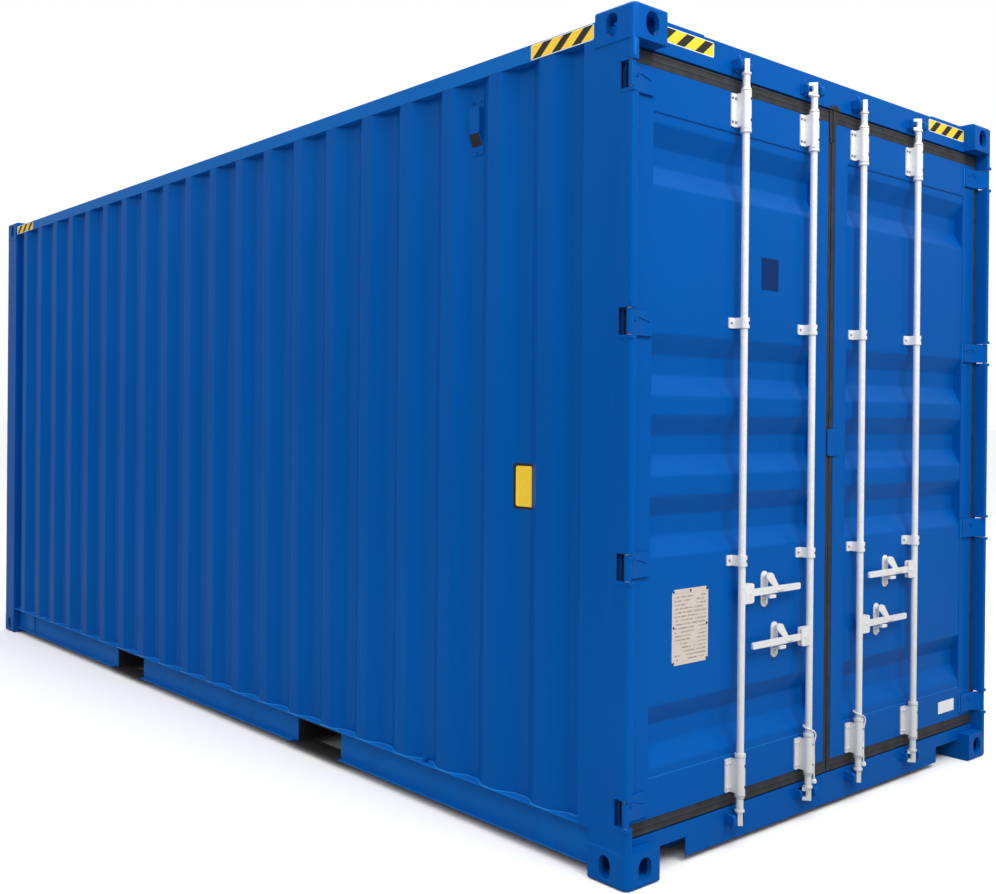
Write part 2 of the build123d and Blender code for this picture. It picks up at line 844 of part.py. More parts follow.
# Handle keeps: a plate on the door with a boss above and a seat below the handle
def handle_keep(y, z):
    face = panel_face - keep_t
    low = z - handle_h / 2 - seal_gap
    with BuildPart() as keep:
        with BuildSketch(Plane.YZ.offset(deep(panel_face))):
            with Locations((y, z)):
                SlotOverall(keep_h, keep_w, rotation=90)
        extrude(amount=keep_t)
        cross_rod(keep_boss_d, face, y, z + keep_boss, keep_boss_r)
        cross_rod(face - keep_bolt_r, face, y, z - keep_boss, keep_bolt_r)
        block(deep(bar_d - handle_t), deep(face), y - seat_w / 2, y + seat_w / 2, low - seat_t, low)
    return keep.part


# Lock bars with a forked claw at each end and a hub for the handle
def lock_bar(y, way, hub_z):
    x = deep(bar_d)
    half = handle_t / 2 + handle_gap
    claw_mid = (claw_d0 + claw_d1) / 2
    low_end = claw_low_z0 + claw_h
    shoulder_low = low_bracket - sleeve_extra - collar_gap
    shoulder_top = top_bracket + bracket_h + sleeve_extra + collar_gap
    with BuildPart() as bar:
        rod(x, y, low_end, claw_top_z0, bar_r)
        for z0 in claw_levels:
            with Locations(Location((x, y, z0), (0, 0, -way * claw_turn))):
                with Locations((bar_d - claw_mid, 0, claw_h / 2)):
                    Box(claw_d1 - claw_d0, claw_w, claw_h)
                with Locations((bar_d - claw_d1, 0, claw_h / 2)):
                    Box(2 * (claw_d1 - bar_d + 2), claw_w + 1, claw_h - 2 * claw_arm, mode=Mode.SUBTRACT)
            rod(x, y, z0, z0 + claw_h, claw_core_r)
        rod(x, y, low_end, low_end + ring_h, ring_r)
        rod(x, y, claw_top_z0 - ring_h, claw_top_z0, ring_r)
        cone(x, y, shoulder_low - collar_h, shoulder_low, neck_r, collar_r)
        cone(x, y, shoulder_top, shoulder_top + collar_h, collar_r, neck_r)
        for z0 in (low_bracket + bracket_h + sleeve_extra + collar_gap,
                   top_bracket - sleeve_extra - collar_gap - collar_h):
            rod(x, y, z0, z0 + collar_h, collar_r)
        for sign in (-1, 1):
            block(x + sign * half, x + sign * (half + hub_plate), y, y + way * hub_reach,
                  hub_z - hub_h / 2, hub_z + hub_h / 2)
        block(x - half, x + half, y, y + way * (rivet_at - handle_eye - 1),
              hub_z - hub_h / 2, hub_z + hub_h / 2)
        far = bar.edges().filter_by(Axis.X).sort_by(lambda e: way * e.center().Y)[-4:]
        fillet(far, hub_round)
        with Locations(Location((x, y + way * rivet_at, hub_z), (0, 90, 0))):
            Cylinder(rivet_r, 2 * (half + hub_plate + rivet_head))
    return bar.part


def seal_flap(keep_y, hub_z):
    # a cranked plate from over the boss down to the front of the handle
    front = bar_d - handle_t / 2
    over = hub_z + keep_boss
    high = hub_z + handle_h / 2
    a = keep_y - flap_r
    b = a + flap_lean
    c = b + flap_flat
    with BuildPart() as flap:
        with BuildSketch(Plane.XY.offset(hub_z - handle_h / 2)):
            with BuildLine():
                Polyline((deep(flap_d), a), (deep(front - flap_t), b), (deep(front - flap_t), c),
                         (deep(front), c), (deep(front), b), (deep(flap_d + flap_t), a), close=True)
            make_face()
        extrude(amount=keep_boss + handle_h / 2 + flap_r)
        with BuildSketch(Plane.YZ.offset(deep(flap_d + flap_t + 1))):
            with BuildLine():
                Polyline((a, over - 4), (keep_y + 11, over + 10), (b - 6, high + 2), (c, high - 5),
                         (c, hub_z - 5), (b - 10, hub_z - 5), (a + 8, over - 14), close=True)
            make_face()
            with Locations((keep_y, over)):
                Circle(flap_r)
        extrude(amount=2 * flap_d, mode=Mode.INTERSECT)
    return flap.part


def handle(y, way, hub_z):
    x = deep(bar_d)
    pivot = y + way * rivet_at
    keep_y = y + way * keep_at
    tip = pivot + way * handle_len
    high = hub_z + handle_h / 2
    low = hub_z - handle_h / 2
    with BuildPart() as lever:
        with BuildSketch(Plane.YZ.offset(x - handle_t / 2)) as face:
            with BuildLine():
                Polyline((pivot, low), (pivot, high), (tip, hub_z + handle_tip / 2),
                         (tip, hub_z - handle_tip / 2), close=True)
            make_face()
            ends = face.vertices().sort_by(lambda v: way * v.X)[-2:]
            fillet(ends, 6)
            with Locations((pivot, hub_z)):
                Circle(handle_eye)
                Circle(rivet_r + run_fit, mode=Mode.SUBTRACT)
        extrude(amount=handle_t)
        add(seal_flap(keep_y, hub_z))
    return lever.part


# Tie back ropes: looped round a bar above its low bracket, one strand lying on the sleeve
def rope_route(y):
    loop_z = low_bracket + bracket_h + sleeve_extra + collar_gap + collar_h + 12
    end_z = claw_low_z0 + claw_h + knot_lift + knot_h
    drop = loop_z - end_z
    lie = (sleeve_r + rope_r + rope_lie) / Vector(1, 0.27).length
    back = 0.868 * rope_loop
    runs = [(28, -7.5, end_z), (28, -7.5, end_z + 0.18 * drop), (lie, -0.27 * lie, end_z + 0.38 * drop),
            (lie, -0.27 * lie, end_z + 0.67 * drop), (31, -13, loop_z - 27), (16.5, -back, loop_z - 7),
            (-9, -back, loop_z + 5), (-rope_loop, -1, loop_z + 12), (-11, back, loop_z + 16),
            (rope_loop / 2, back, loop_z + 13), (25, 8, loop_z + 1), (34, 4, loop_z - 24),
            (37.5, 1, end_z + 0.72 * drop), (38.5, -0.5, end_z + 0.47 * drop),
            (36, -1, end_z + 0.2 * drop), (36, -1, end_z)]
    return [(deep(bar_d + d), y + dy, z) for dy, d, z in runs]


def bend_radii(points):
    radii = []
    for a, b, c in zip(points, points[1:], points[2:]):
        u = Vector(*b) - Vector(*a)
        v = Vector(*c) - Vector(*b)
        half_turn = u.get_angle(v) / 2
        radii.append(0.45 * min(u.length, v.length) / tan(radians(half_turn)))
    return radii


def rope(y):
    points = rope_route(y)
    radii = bend_radii(points)
    with BuildPart() as cord:
        with BuildLine() as path:
            FilletPolyline(*points, radius=radii)
        with BuildSketch(Plane(origin=path.wire() @ 0, z_dir=path.wire() % 0)):
            Circle(rope_r)
        sweep()
    print("rope radii", [round(r, 1) for r in radii], "length", round(path.wire().length, 1),
          "volume share", round(cord.part.volume / (pi * rope_r ** 2 * path.wire().length), 4))
    return cord.part


def rope_knot(y):
    points = rope_route(y)
    mid = (Vector(*points[0]) + Vector(*points[-1])) / 2
    with BuildPart() as knot:
        rod(mid.X, mid.Y, mid.Z - knot_h, mid.Z, knot_r)
        fillet(knot.edges().sort_by(Axis.Z)[0], 5)
    return knot.part


hub_plan = {"1": (-bar_outer, 1, hub_high), "2": (-bar_inner, -1, hub_low),
            "3": (bar_inner, 1, hub_low), "4": (bar_outer, -1, hub_high)}

for name, side, bars in (("left", -1, ("1", "2")), ("right", 1, ("3", "4"))):
    save(door_frame(side), name + "_door_frame")
    save(door_panel(side), name + "_door_panel")
    save(door_seal(side), name + "_door_seal")
    save(gather([door_hinge(side, z) for z in hinge_levels]), name + "_door_hinges")
    save(bar_brackets([hub_plan[b][0] for b in bars]), name + "_door_bar_brackets")
    save(gather([handle_keep(hub_plan[b][0] + hub_plan[b][1] * keep_at, hub_plan[b][2]) for b in bars]),
         name + "_door_handle_keeps")
    save(rope(side * bar_inner), name + "_door_rope")
    save(rope_knot(side * bar_inner), name + "_door_rope_knot")
save(lap_plate(), "door_lap_plate")

for number, (y, way, z) in hub_plan.items():
    save(lock_bar(y, way, z), "lock_bar_" + number)
    save(handle(y, way, z), "handle_" + number)
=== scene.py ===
import bpy
import bmesh
import json
import math
from mathutils import Matrix, Vector


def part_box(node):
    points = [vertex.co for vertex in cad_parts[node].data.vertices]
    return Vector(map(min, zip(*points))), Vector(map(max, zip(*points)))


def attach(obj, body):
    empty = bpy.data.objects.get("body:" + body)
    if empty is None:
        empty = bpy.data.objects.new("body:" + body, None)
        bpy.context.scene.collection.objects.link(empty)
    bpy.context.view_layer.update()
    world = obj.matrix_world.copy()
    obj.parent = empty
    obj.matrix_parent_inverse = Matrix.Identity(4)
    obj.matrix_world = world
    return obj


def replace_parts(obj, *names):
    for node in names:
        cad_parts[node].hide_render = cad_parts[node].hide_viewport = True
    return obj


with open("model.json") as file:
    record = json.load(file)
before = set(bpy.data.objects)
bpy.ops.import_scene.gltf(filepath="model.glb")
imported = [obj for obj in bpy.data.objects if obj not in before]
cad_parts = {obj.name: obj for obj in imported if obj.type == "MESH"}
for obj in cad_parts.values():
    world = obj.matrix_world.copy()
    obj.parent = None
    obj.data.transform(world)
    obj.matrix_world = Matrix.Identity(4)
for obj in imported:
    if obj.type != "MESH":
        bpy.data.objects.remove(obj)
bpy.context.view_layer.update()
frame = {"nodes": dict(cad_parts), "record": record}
bodyOf = {n: b for b, names in frame["record"]["behaviour"]["bodies"].items() for n in names}
print("frame loaded", len(frame["nodes"]), "nodes")

slotOf = {s["node"]: s["material_slot"] for s in frame["record"]["subparts"]}
pivots = {j["child"]: j["pos_m"] for j in frame["record"]["behaviour"]["joints"]}
barX = pivots["lock_bar_1"][0]
barSpots = {k: pivots["lock_bar_%d" % k][1] for k in (1, 2, 3, 4)}    # y of each bar
endPlane = 3.029                                                      # x of the door end
doors = ((-1, "left_door"), (1, "right_door"))
flanks = ((-1, "left"), (1, "right"))
xWay, yWay, up = Vector((1, 0, 0)), Vector((0, 1, 0)), Vector((0, 0, 1))


def deep(mm):
    # x of a plane so many mm behind the door end
    return endPlane - mm / 1000


# shader sums written as plain expressions
class Wire:
    def __init__(self, tree, socket=None):
        self.tree = tree
        self.socket = socket

    def node(self, kind, settings=None, inputs=None, out=0):
        made = self.tree.nodes.new(kind)
        for key, value in (settings or {}).items():
            setattr(made, key, value)
        for key, value in (inputs or {}).items():
            if isinstance(value, Wire):
                self.tree.links.new(value.socket, made.inputs[key])
            else:
                made.inputs[key].default_value = value
        return Wire(self.tree, made.outputs[out])

    def sum(self, operation, a, b=0.0):
        return self.node("ShaderNodeMath", {"operation": operation}, {0: a, 1: b})

    def __add__(self, other):
        return self.sum("ADD", self, other)

    def __radd__(self, other):
        return self.sum("ADD", other, self)

    def __sub__(self, other):
        return self.sum("SUBTRACT", self, other)

    def __rsub__(self, other):
        return self.sum("SUBTRACT", other, self)

    def __mul__(self, other):
        return self.sum("MULTIPLY", self, other)

    def __rmul__(self, other):
        return self.sum("MULTIPLY", other, self)

    def __truediv__(self, other):
        return self.sum("DIVIDE", self, other)

    def __rtruediv__(self, other):
        return self.sum("DIVIDE", other, self)

    def __gt__(self, other):
        return self.sum("GREATER_THAN", self, other)

    def __lt__(self, other):
        return self.sum("LESS_THAN", self, other)

    def wrap(self):
        return self.sum("FRACT", self)

    def ease(self, low, high):
        ends = {"From Min": low, "From Max": high}
        return self.node("ShaderNodeMapRange", {"clamp": True}, {"Value": self, **ends})

    def within(self, low, high, fade):
        # 1 between the two ends, fading to 0 inside each
        return self.ease(low, low + fade) * (1 - self.ease(high - fade, high))

    def blend(self, first, second):
        # this value as the factor between two colours; 6, 7 and 2 are the node's colour sockets
        return self.node("ShaderNodeMix", {"data_type": "RGBA"}, {0: self, 6: first, 7: second}, 2)

    def stretched(self, x, y, z):
        return self.node("ShaderNodeVectorMath", {"operation": "MULTIPLY"}, {0: self, 1: (x, y, z)})

    def cloud(self, scale, detail=2.0, rough=0.5):
        return self.node("ShaderNodeTexNoise", None,
                         {"Vector": self, "Scale": scale, "Detail": detail, "Roughness": rough})

    def axes(self):
        return [self.node("ShaderNodeSeparateXYZ", None, {0: self}, k) for k in range(3)]

    def bump(self, strength, distance):
        return self.node("ShaderNodeBump", None,
                         {"Strength": strength, "Distance": distance, "Height": self})


def finish(name, recipe, **fixed):
    mat = bpy.data.materials.new(name)
    mat.use_nodes = True
    tree = mat.node_tree
    shader = tree.nodes["Principled BSDF"]
    where = Wire(tree).node("ShaderNodeTexCoord", None, None, "Object")
    for key, value in {**fixed, **recipe(where)}.items():
        if isinstance(value, Wire):
            tree.links.new(value.socket, shader.inputs[key])
        else:
            shader.inputs[key].default_value = value
    return mat


def tint(r, g, b):
    return (r, g, b, 1.0)


# satin enamel on all the steelwork; the rails get a paler copy of it, a painted sheen standing in for the
# light their faces reflect
bluePaint = {"blue": tint(0.0007, 0.096, 0.400), "deepBlue": tint(0.0006, 0.087, 0.370),
             "railSheenBlue": tint(0.004, 0.140, 0.510), "railSheenDeep": tint(0.0035, 0.128, 0.475),
             "dusty": tint(0.020, 0.105, 0.330), "gloss": 0.26, "metal": 0.10, "shine": 0.035, "peel": 0.05}


def paintRecipe(pale, deepTone):
    def recipe(where):
        patch = where.cloud(0.8, 3.0)
        streak = where.stretched(9.0, 9.0, 0.55).cloud(1.0, 3.0)
        peel = where.cloud(330.0, 1.0)
        low = 1 - where.axes()[2].ease(0.02, 0.30)
        grime = low * streak.ease(0.46, 0.74)
        base = patch.ease(0.30, 0.72).blend(bluePaint[deepTone], bluePaint[pale])
        return {"Base Color": (grime * 0.30).blend(base, bluePaint["dusty"]),
                "Roughness": bluePaint["gloss"] + streak * 0.07 + grime * 0.25,
                "Normal": peel.bump(bluePaint["peel"], 0.0006)}
    return recipe


enamel = {"Specular IOR Level": bluePaint["shine"], "Metallic": bluePaint["metal"]}
blue = finish("blue_enamel", paintRecipe("blue", "deepBlue"), **enamel)
railSheenBlue = finish("rail_enamel_painted_sheen", paintRecipe("railSheenBlue", "railSheenDeep"), **enamel)


# zinc on the locking gear, with a faint crystal pattern and painted shade darkening it towards the bottom
zincCoat = {"pale": tint(0.85, 0.85, 0.845), "dull": tint(0.75, 0.755, 0.755),
            "shadedLow": tint(0.56, 0.56, 0.545), "metal": 0.10}


def zincRecipe(where):
    flakes = where.node("ShaderNodeTexVoronoi", {"feature": "F1"}, {"Vector": where, "Scale": 140.0}, "Color")
    grey = where.node("ShaderNodeSeparateColor", None, {0: flakes}, "Red")
    film = where.cloud(14.0, 4.0)
    grain = where.cloud(600.0, 1.0)
    shade = (grey * 0.45 + film * 0.55).ease(0.25, 0.75)
    # painted shade: the zinc turns darker towards the bottom of the bars, standing in for the light falling
    # off lower down, mottled by the film noise
    soilAndShade = (1 - where.axes()[2].ease(0.10, 1.30)) * (0.35 + film * 0.5)
    return {"Base Color": soilAndShade.blend(shade.blend(zincCoat["dull"], zincCoat["pale"]), zincCoat["shadedLow"]),
            "Roughness": 0.34 + film * 0.16,
            "Normal": (grain * 0.5 + film).bump(0.08, 0.0008)}


zinc = finish("galvanised_zinc", zincRecipe, Metallic=zincCoat["metal"])


# door gasket
def rubberRecipe(where):
    film = where.cloud(22.0, 4.0)
    grain = where.cloud(900.0, 1.0)
    return {"Base Color": film.ease(0.3, 0.75).blend(tint(0.016, 0.017, 0.021), tint(0.036, 0.038, 0.044)),
            "Roughness": 0.58 + film * 0.2, "Normal": grain.bump(0.18, 0.0006)}


rubber = finish("gasket_rubber", rubberRecipe, **{"Specular IOR Level": 0.3})


# laid plywood sheets with their joints
floorSheets = {"length": 1.22, "width": 0.584, "gapX": 0.004, "gapY": 0.007}    # gaps as shares


def plyRecipe(where):
    x, y = where.axes()[:2]
    grain = where.stretched(2.2, 60.0, 60.0).cloud(1.0, 5.0, 0.6)
    stain = where.cloud(2.4, 3.0)
    seamX = (x / floorSheets["length"] + 0.5).wrap() < floorSheets["gapX"]
    seamY = (y / floorSheets["width"] + 0.5).wrap() < floorSheets["gapY"]
    seam = seamX.sum("MAXIMUM", seamX, seamY)
    wood = grain.ease(0.3, 0.7).blend(tint(0.150, 0.070, 0.032), tint(0.290, 0.150, 0.075))
    worn = stain.ease(0.35, 0.75).blend(wood, tint(0.200, 0.115, 0.065))
    return {"Base Color": seam.blend(worn, tint(0.02, 0.014, 0.010)),
            "Roughness": 0.55 + grain * 0.2, "Normal": (grain - seam * 3).bump(0.25, 0.0012)}


plywood = finish("floor_plywood", plyRecipe)


# thick coat under the floor
def underRecipe(where):
    lump = where.cloud(45.0, 5.0)
    dust = where.cloud(3.0, 3.0)
    return {"Base Color": dust.ease(0.4, 0.8).blend(tint(0.010, 0.010, 0.012), tint(0.030, 0.028, 0.027)),
            "Roughness": 0.62 + lump * 0.22, "Normal": lump.bump(0.35, 0.002)}


underCoat = finish("underbody_coat", underRecipe)


# printed films and small plates
def filmRecipe(pale, deepTone, rough):
    def recipe(where):
        scuff = where.cloud(38.0, 4.0)
        return {"Base Color": scuff.ease(0.35, 0.8).blend(pale, deepTone),
                "Roughness": rough + scuff * 0.12, "Normal": where.cloud(420.0, 1.0).bump(0.05, 0.0004)}
    return recipe


filmYellow = finish("film_yellow", filmRecipe(tint(0.97, 0.66, 0.024), tint(0.93, 0.60, 0.020), 0.36))
filmBlack = finish("film_black", filmRecipe(tint(0.016, 0.014, 0.012), tint(0.024, 0.021, 0.018), 0.40),
                   **{"Specular IOR Level": 0.25})
filmWhite = finish("film_white", filmRecipe(tint(0.80, 0.81, 0.82), tint(0.74, 0.75, 0.76), 0.40))
filmNavy = finish("film_navy", filmRecipe(tint(0.003, 0.024, 0.120), tint(0.004, 0.028, 0.135), 0.35),
                  **{"Specular IOR Level": 0.06})
# dark grey for the upper bolt heads: painted shade
shadedBoltGrey = finish("bolt_painted_shade", filmRecipe(tint(0.26, 0.265, 0.27), tint(0.36, 0.365, 0.37), 0.42),
                  Metallic=0.2)
# deep blue for the strip under the door rail's step: a painted shadow line
lapShadowBlue = finish("seam_blue", filmRecipe(tint(0.001, 0.034, 0.150), tint(0.001, 0.040, 0.175), 0.5),
                  **{"Specular IOR Level": 0.05})
# paler blue on the weld beads: a painted highlight for the light they catch
weldHighlightBlue = finish("weld_blue", filmRecipe(tint(0.010, 0.175, 0.550), tint(0.006, 0.145, 0.480), 0.30),
                  **{"Specular IOR Level": 0.10})
# dark steel for small fittings, also used as painted shade behind the vent mesh
darkSteelAndShade = finish("dark_steel_and_shade", filmRecipe(tint(0.012, 0.012, 0.014), tint(0.022, 0.022, 0.024), 0.5))


# riveted data plate with rows of dashes
dataPlate = {"y": (-0.940, -0.746), "z": (0.691, 0.953), "thick": 0.0014, "notch": 0.012, "soft": 0.0004,
             "inkY": (-0.930, -0.756), "inkZ": (0.702, 0.940), "fade": 0.004, "rows": 74.0, "pinInset": 0.008,
             "pins": ((-1, -1), (-1, 0), (-1, 1), (0, 1), (1, 1), (1, 0), (1, -1)),
             "pinShape": ((0, 0.0048), (0.0012, 0.0042), (0.002, 0.0022))}


def plateRecipe(where):
    d = dataPlate
    y, z = where.axes()[1:]
    brushed = where.stretched(30.0, 4.0, 420.0).cloud(1.0, 3.0)
    row = (z * d["rows"]).wrap().within(0.28, 0.74, 0.12)
    dash = where.stretched(0.0, 210.0, d["rows"]).cloud(1.0, 1.0).ease(0.40, 0.50)
    block = where.stretched(0.0, 14.0, 22.0).cloud(1.0, 1.0).ease(0.36, 0.42)
    inside = y.within(*d["inkY"], d["fade"]) * z.within(*d["inkZ"], d["fade"])
    ink = row * dash * block * inside
    metal = brushed.ease(0.3, 0.7).blend(tint(0.60, 0.53, 0.47), tint(0.68, 0.60, 0.54))
    return {"Base Color": (ink * 0.80).blend(metal, tint(0.17, 0.14, 0.12)),
            "Roughness": 0.42 + brushed * 0.12, "Normal": brushed.bump(0.05, 0.0004)}


plateMetal = finish("plate_metal", plateRecipe, Metallic=0.1)


# rope fibres
def ropeRecipe(where):
    fibre = where.stretched(1.0, 1.0, 0.4).cloud(1300.0, 2.0)
    soilAndShade = where.cloud(40.0, 3.0)
    return {"Base Color": soilAndShade.ease(0.4, 0.8).blend(tint(0.78, 0.79, 0.79), tint(0.60, 0.61, 0.61)),
            "Roughness": 0.75 + fibre * 0.15, "Normal": fibre.bump(0.35, 0.0006)}


ropeYarn = finish("rope_yarn", ropeRecipe)
slotLook = {"paint": blue, "underframe": underCoat, "floor_boards": plywood, "seal": rubber,
            "zinc": zinc, "rope": ropeYarn}
print("finishes made", len(bpy.data.materials))


# mesh helpers; edges that turn by more than these degrees stay sharp
creaseAngle, sheetAngle, ropeAngle, beadAngle = 32, 40, 50, 60
cleaning = {"near": 0.00002, "flat": 0.4}          # metres, degrees
folding = {"leastTurn": 0.01, "mostShare": 0.45}   # radians, share of a flat


def show(name, mesh, mats, body, slot):
    piece = bpy.data.objects.new(name, mesh)
    bpy.context.scene.collection.objects.link(piece)
    for mat in mats if isinstance(mats, (list, tuple)) else [mats]:
        mesh.materials.append(mat)
    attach(piece, body)
    return piece


def smooth(mesh, angle=creaseAngle):
    mesh.polygons.foreach_set("use_smooth", [True] * len(mesh.polygons))
    mesh.set_sharp_from_angle(angle=math.radians(angle))


def soften(piece, width, steps=2):
    cut = piece.modifiers.new("edges", "BEVEL")
    cut.width = width
    cut.segments = steps
    cut.limit_method = "ANGLE"
    cut.angle_limit = math.radians(creaseAngle)
    cut.harden_normals = True
    cut.use_clamp_overlap = True


def settle(bm, name, angle=creaseAngle):
    mesh = bpy.data.meshes.new(name)
    bmesh.ops.recalc_face_normals(bm, faces=bm.faces)
    bm.to_mesh(mesh)
    bm.free()
    smooth(mesh, angle)
    return mesh


def dress(node, width, mat=None):
    # a cleaned copy of a solid with its edges rounded as rolled or cast steel is
    slot = slotOf[node]
    bm = bmesh.new()
    bm.from_mesh(frame["nodes"][node].data)
    bmesh.ops.remove_doubles(bm, verts=bm.verts, dist=cleaning["near"])
    bmesh.ops.dissolve_limit(bm, angle_limit=math.radians(cleaning["flat"]), verts=bm.verts, edges=bm.edges)
    mesh = bpy.data.meshes.new(node + "_look")
    bm.to_mesh(mesh)
    bm.free()
    smooth(mesh)
    piece = show(node + "_look", mesh, mat or slotLook[slot], bodyOf[node], slot)
    soften(piece, width)
    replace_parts(piece, node)


def prism(bm, outline, axisPoint, u, v, w, depth):
    # a flat outline in the u, v plane pushed along w
    near = [bm.verts.new(axisPoint + u * a + v * b) for a, b in outline]
    far = [bm.verts.new(axisPoint + u * a + v * b + w * depth) for a, b in outline]
    bm.faces.new(near)
    bm.faces.new(list(reversed(far)))
    for k in range(len(near)):
        j = (k + 1) % len(near)
        bm.faces.new((near[j], near[k], far[k], far[j]))


def lathe(bm, centre, axis, profile, sides):
    # rings of (height, radius) turned about an axis of length 1
    u = axis.orthogonal().normalized()
    v = axis.cross(u)
    rings = []
    for height, radius in profile:
        rings.append([bm.verts.new(centre + axis * height + (u * math.cos(a) + v * math.sin(a)) * radius)
                      for a in (2 * math.pi * k / sides for k in range(sides))])
    for low, high in zip(rings, rings[1:]):
        for k in range(sides):
            j = (k + 1) % sides
            bm.faces.new((low[k], low[j], high[j], high[k]))
    bm.faces.new(list(reversed(rings[0])))
    bm.faces.new(rings[-1])


def roundedBox(w, h, r, steps=5):
    # a rectangle with rounded corners, about its own middle
    points = []
    for sx, sy, start in ((1, 1, 0), (-1, 1, 90), (-1, -1, 180), (1, -1, 270)):
        for k in range(steps + 1):
            a = math.radians(start + 90 * k / steps)
            points.append((sx * (w / 2 - r) + r * math.cos(a), sy * (h / 2 - r) + r * math.sin(a)))
    return points


def foldLine(points, radius, steps=5):
    # a bent sheet's line with each fold turned on a press radius
    out = [Vector(points[0])]
    for a, b, c in zip(points, points[1:], points[2:]):
        a, b, c = Vector(a), Vector(b), Vector(c)
        u, v = (a - b).normalized(), (c - b).normalized()
        turn = math.pi - u.angle(v)
        if turn < folding["leastTurn"]:
            continue
        most = folding["mostShare"] * min((a - b).length, (c - b).length)
        reach = min(radius * math.tan(turn / 2), most)
        start, end = b + u * reach, b + v * reach
        for k in range(steps + 1):
            t = k / steps
            out.append((start.lerp(b, t)).lerp(b.lerp(end, t), t))
    out.append(Vector(points[-1]))
    return out


def standing(p, q, r):
    return Vector((p, q, r))


def lying(p, q, r):
    return Vector((p, r, q))


def bentSheet(name, line, shift, place, low, high):
    # the line is (p, q), pushed from low to high; place(p, q, r) puts it in the frame
    bm = bmesh.new()
    back = [Vector((p[0] + shift[0], p[1] + shift[1])) for p in line]
    grid = []
    for run in (line, back):
        grid.append([[bm.verts.new(place(p[0], p[1], r)) for r in (low, high)] for p in run])
    front, rear = grid
    for k in range(len(line) - 1):
        bm.faces.new((front[k][0], front[k + 1][0], front[k + 1][1], front[k][1]))
        bm.faces.new((rear[k][0], rear[k][1], rear[k + 1][1], rear[k + 1][0]))
        for s in (0, 1):
            bm.faces.new((front[k][s], front[k + 1][s], rear[k + 1][s], rear[k][s]))
    for k in (0, -1):
        bm.faces.new((front[k][0], front[k][1], rear[k][1], rear[k][0]))
    return settle(bm, name, sheetAngle)


def tube(bm, line, radius, sides, closed=False):
    # a round skin along a line, without twist
    rings = []
    side = None
    count = len(line)
    for k, p in enumerate(line):
        ahead = line[(k + 1) % count] if closed or k + 1 < count else p
        behind = line[k - 1] if closed or k else p
        t = (ahead - behind).normalized()
        side = t.orthogonal().normalized() if side is None else (side - t * side.dot(t)).normalized()
        other = t.cross(side)
        rings.append([bm.verts.new(p + (side * math.cos(a) + other * math.sin(a)) * radius)
                      for a in (2 * math.pi * j / sides for j in range(sides))])
    for low, high in zip(rings, rings[1:] + ([rings[0]] if closed else [])):
        for j in range(sides):
            i = (j + 1) % sides
            bm.faces.new((low[j], low[i], high[i], high[j]))
    if not closed:
        bm.faces.new(list(reversed(rings[0])))
        bm.faces.new(rings[-1])


# corrugated side walls
sideSheet = {"start": -2.851, "end": 2.798, "firstCrest": -2.708, "pitch": 0.278, "crest": 0.072,
             "slope": 0.068, "crests": 20, "low": 1.176, "out": 1.212, "thick": 0.002, "fold": 0.022,
             "z0": 0.171, "z1": 2.808}


def sideLine():
    s = sideSheet
    line = [(s["start"], s["low"])]
    for k in range(s["crests"]):
        left = s["firstCrest"] + s["pitch"] * k
        line += [(left - s["slope"], s["low"]), (left, s["out"]), (left + s["crest"], s["out"]),
                 (left + s["crest"] + s["slope"], s["low"])]
    line.append((s["end"], s["low"]))
    return line


wallRun = foldLine(sideLine(), sideSheet["fold"])


def wallY(x):
    # how far out the rounded sheet stands at x
    for a, b in zip(wallRun, wallRun[1:]):
        if a[0] <= x <= b[0]:
            t = (x - a[0]) / max(b[0] - a[0], 1e-9)
            return a[1] + (b[1] - a[1]) * t
    return sideSheet["low"]


for side, tag in flanks:
    node = "side_wall_" + tag
    run = [Vector((p[0], side * p[1])) for p in wallRun]
    mesh = bentSheet(node + "_look", run, (0, -side * sideSheet["thick"]), standing,
                     sideSheet["z0"], sideSheet["z1"])
    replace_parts(show(node + "_look", mesh, blue, "container", "paint"), node)

# closed end
frontSheet = {"outer": -3.017, "inner": -2.9714, "edge": 1.069, "pitch": 0.250, "slope": 0.018,
              "valley": 0.104, "count": 8, "thick": 0.002, "fold": 0.014, "z0": 0.150, "z1": 2.778}


def frontLine():
    s = frontSheet
    half = s["valley"] / 2
    line = [(s["outer"], -s["edge"])]
    for k in range(s["count"]):
        mid = s["pitch"] * (k - (s["count"] - 1) / 2)
        line += [(s["outer"], mid - half - s["slope"]), (s["inner"], mid - half),
                 (s["inner"], mid + half), (s["outer"], mid + half + s["slope"])]
    line.append((s["outer"], s["edge"]))
    return line


mesh = bentSheet("front_wall_look", foldLine(frontLine(), frontSheet["fold"]), (frontSheet["thick"], 0),
                 standing, frontSheet["z0"], frontSheet["z1"])
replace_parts(show("front_wall_look", mesh, blue, "container", "paint"), "front_wall")

# pressed door sheets; shares are of the leaf's height
leaf = {"low": 0.193, "tall": 2.527}


def leafZ(share):
    return leaf["low"] + share * leaf["tall"]


doorSheet = {"face": 58.0, "deep": 36.0, "thick": 0.002, "fold": 0.026, "foldSteps": 6,
             "tops": (0.928, 0.6478, 0.5386, 0.4294, 0.1484), "slope": 0.0277, "flat": 0.0269,
             "y0": 0.112, "y1": 1.058, "z0": leafZ(0.0534), "z1": leafZ(1 - 0.0574)}


def doorLine():
    d = doorSheet
    face, back = deep(d["face"]), deep(d["face"] + d["deep"])
    slope, flat = d["slope"] * leaf["tall"], d["flat"] * leaf["tall"]
    line = [(face, d["z1"])]
    for share in d["tops"]:
        top = leafZ(share)
        line += [(face, top), (back, top - slope), (back, top - slope - flat), (face, top - 2 * slope - flat)]
    line.append((face, d["z0"]))
    return line


def panelEnds(side):
    return sorted((side * doorSheet["y0"], side * doorSheet["y1"]))


for side, door in doors:
    run = foldLine(doorLine(), doorSheet["fold"], doorSheet["foldSteps"])
    mesh = bentSheet(door + "_panel_look", run, (-doorSheet["thick"], 0), lying, *panelEnds(side))
    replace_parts(show(door + "_panel_look", mesh, blue, door, "paint"), door + "_panel")
print("sheets folded")

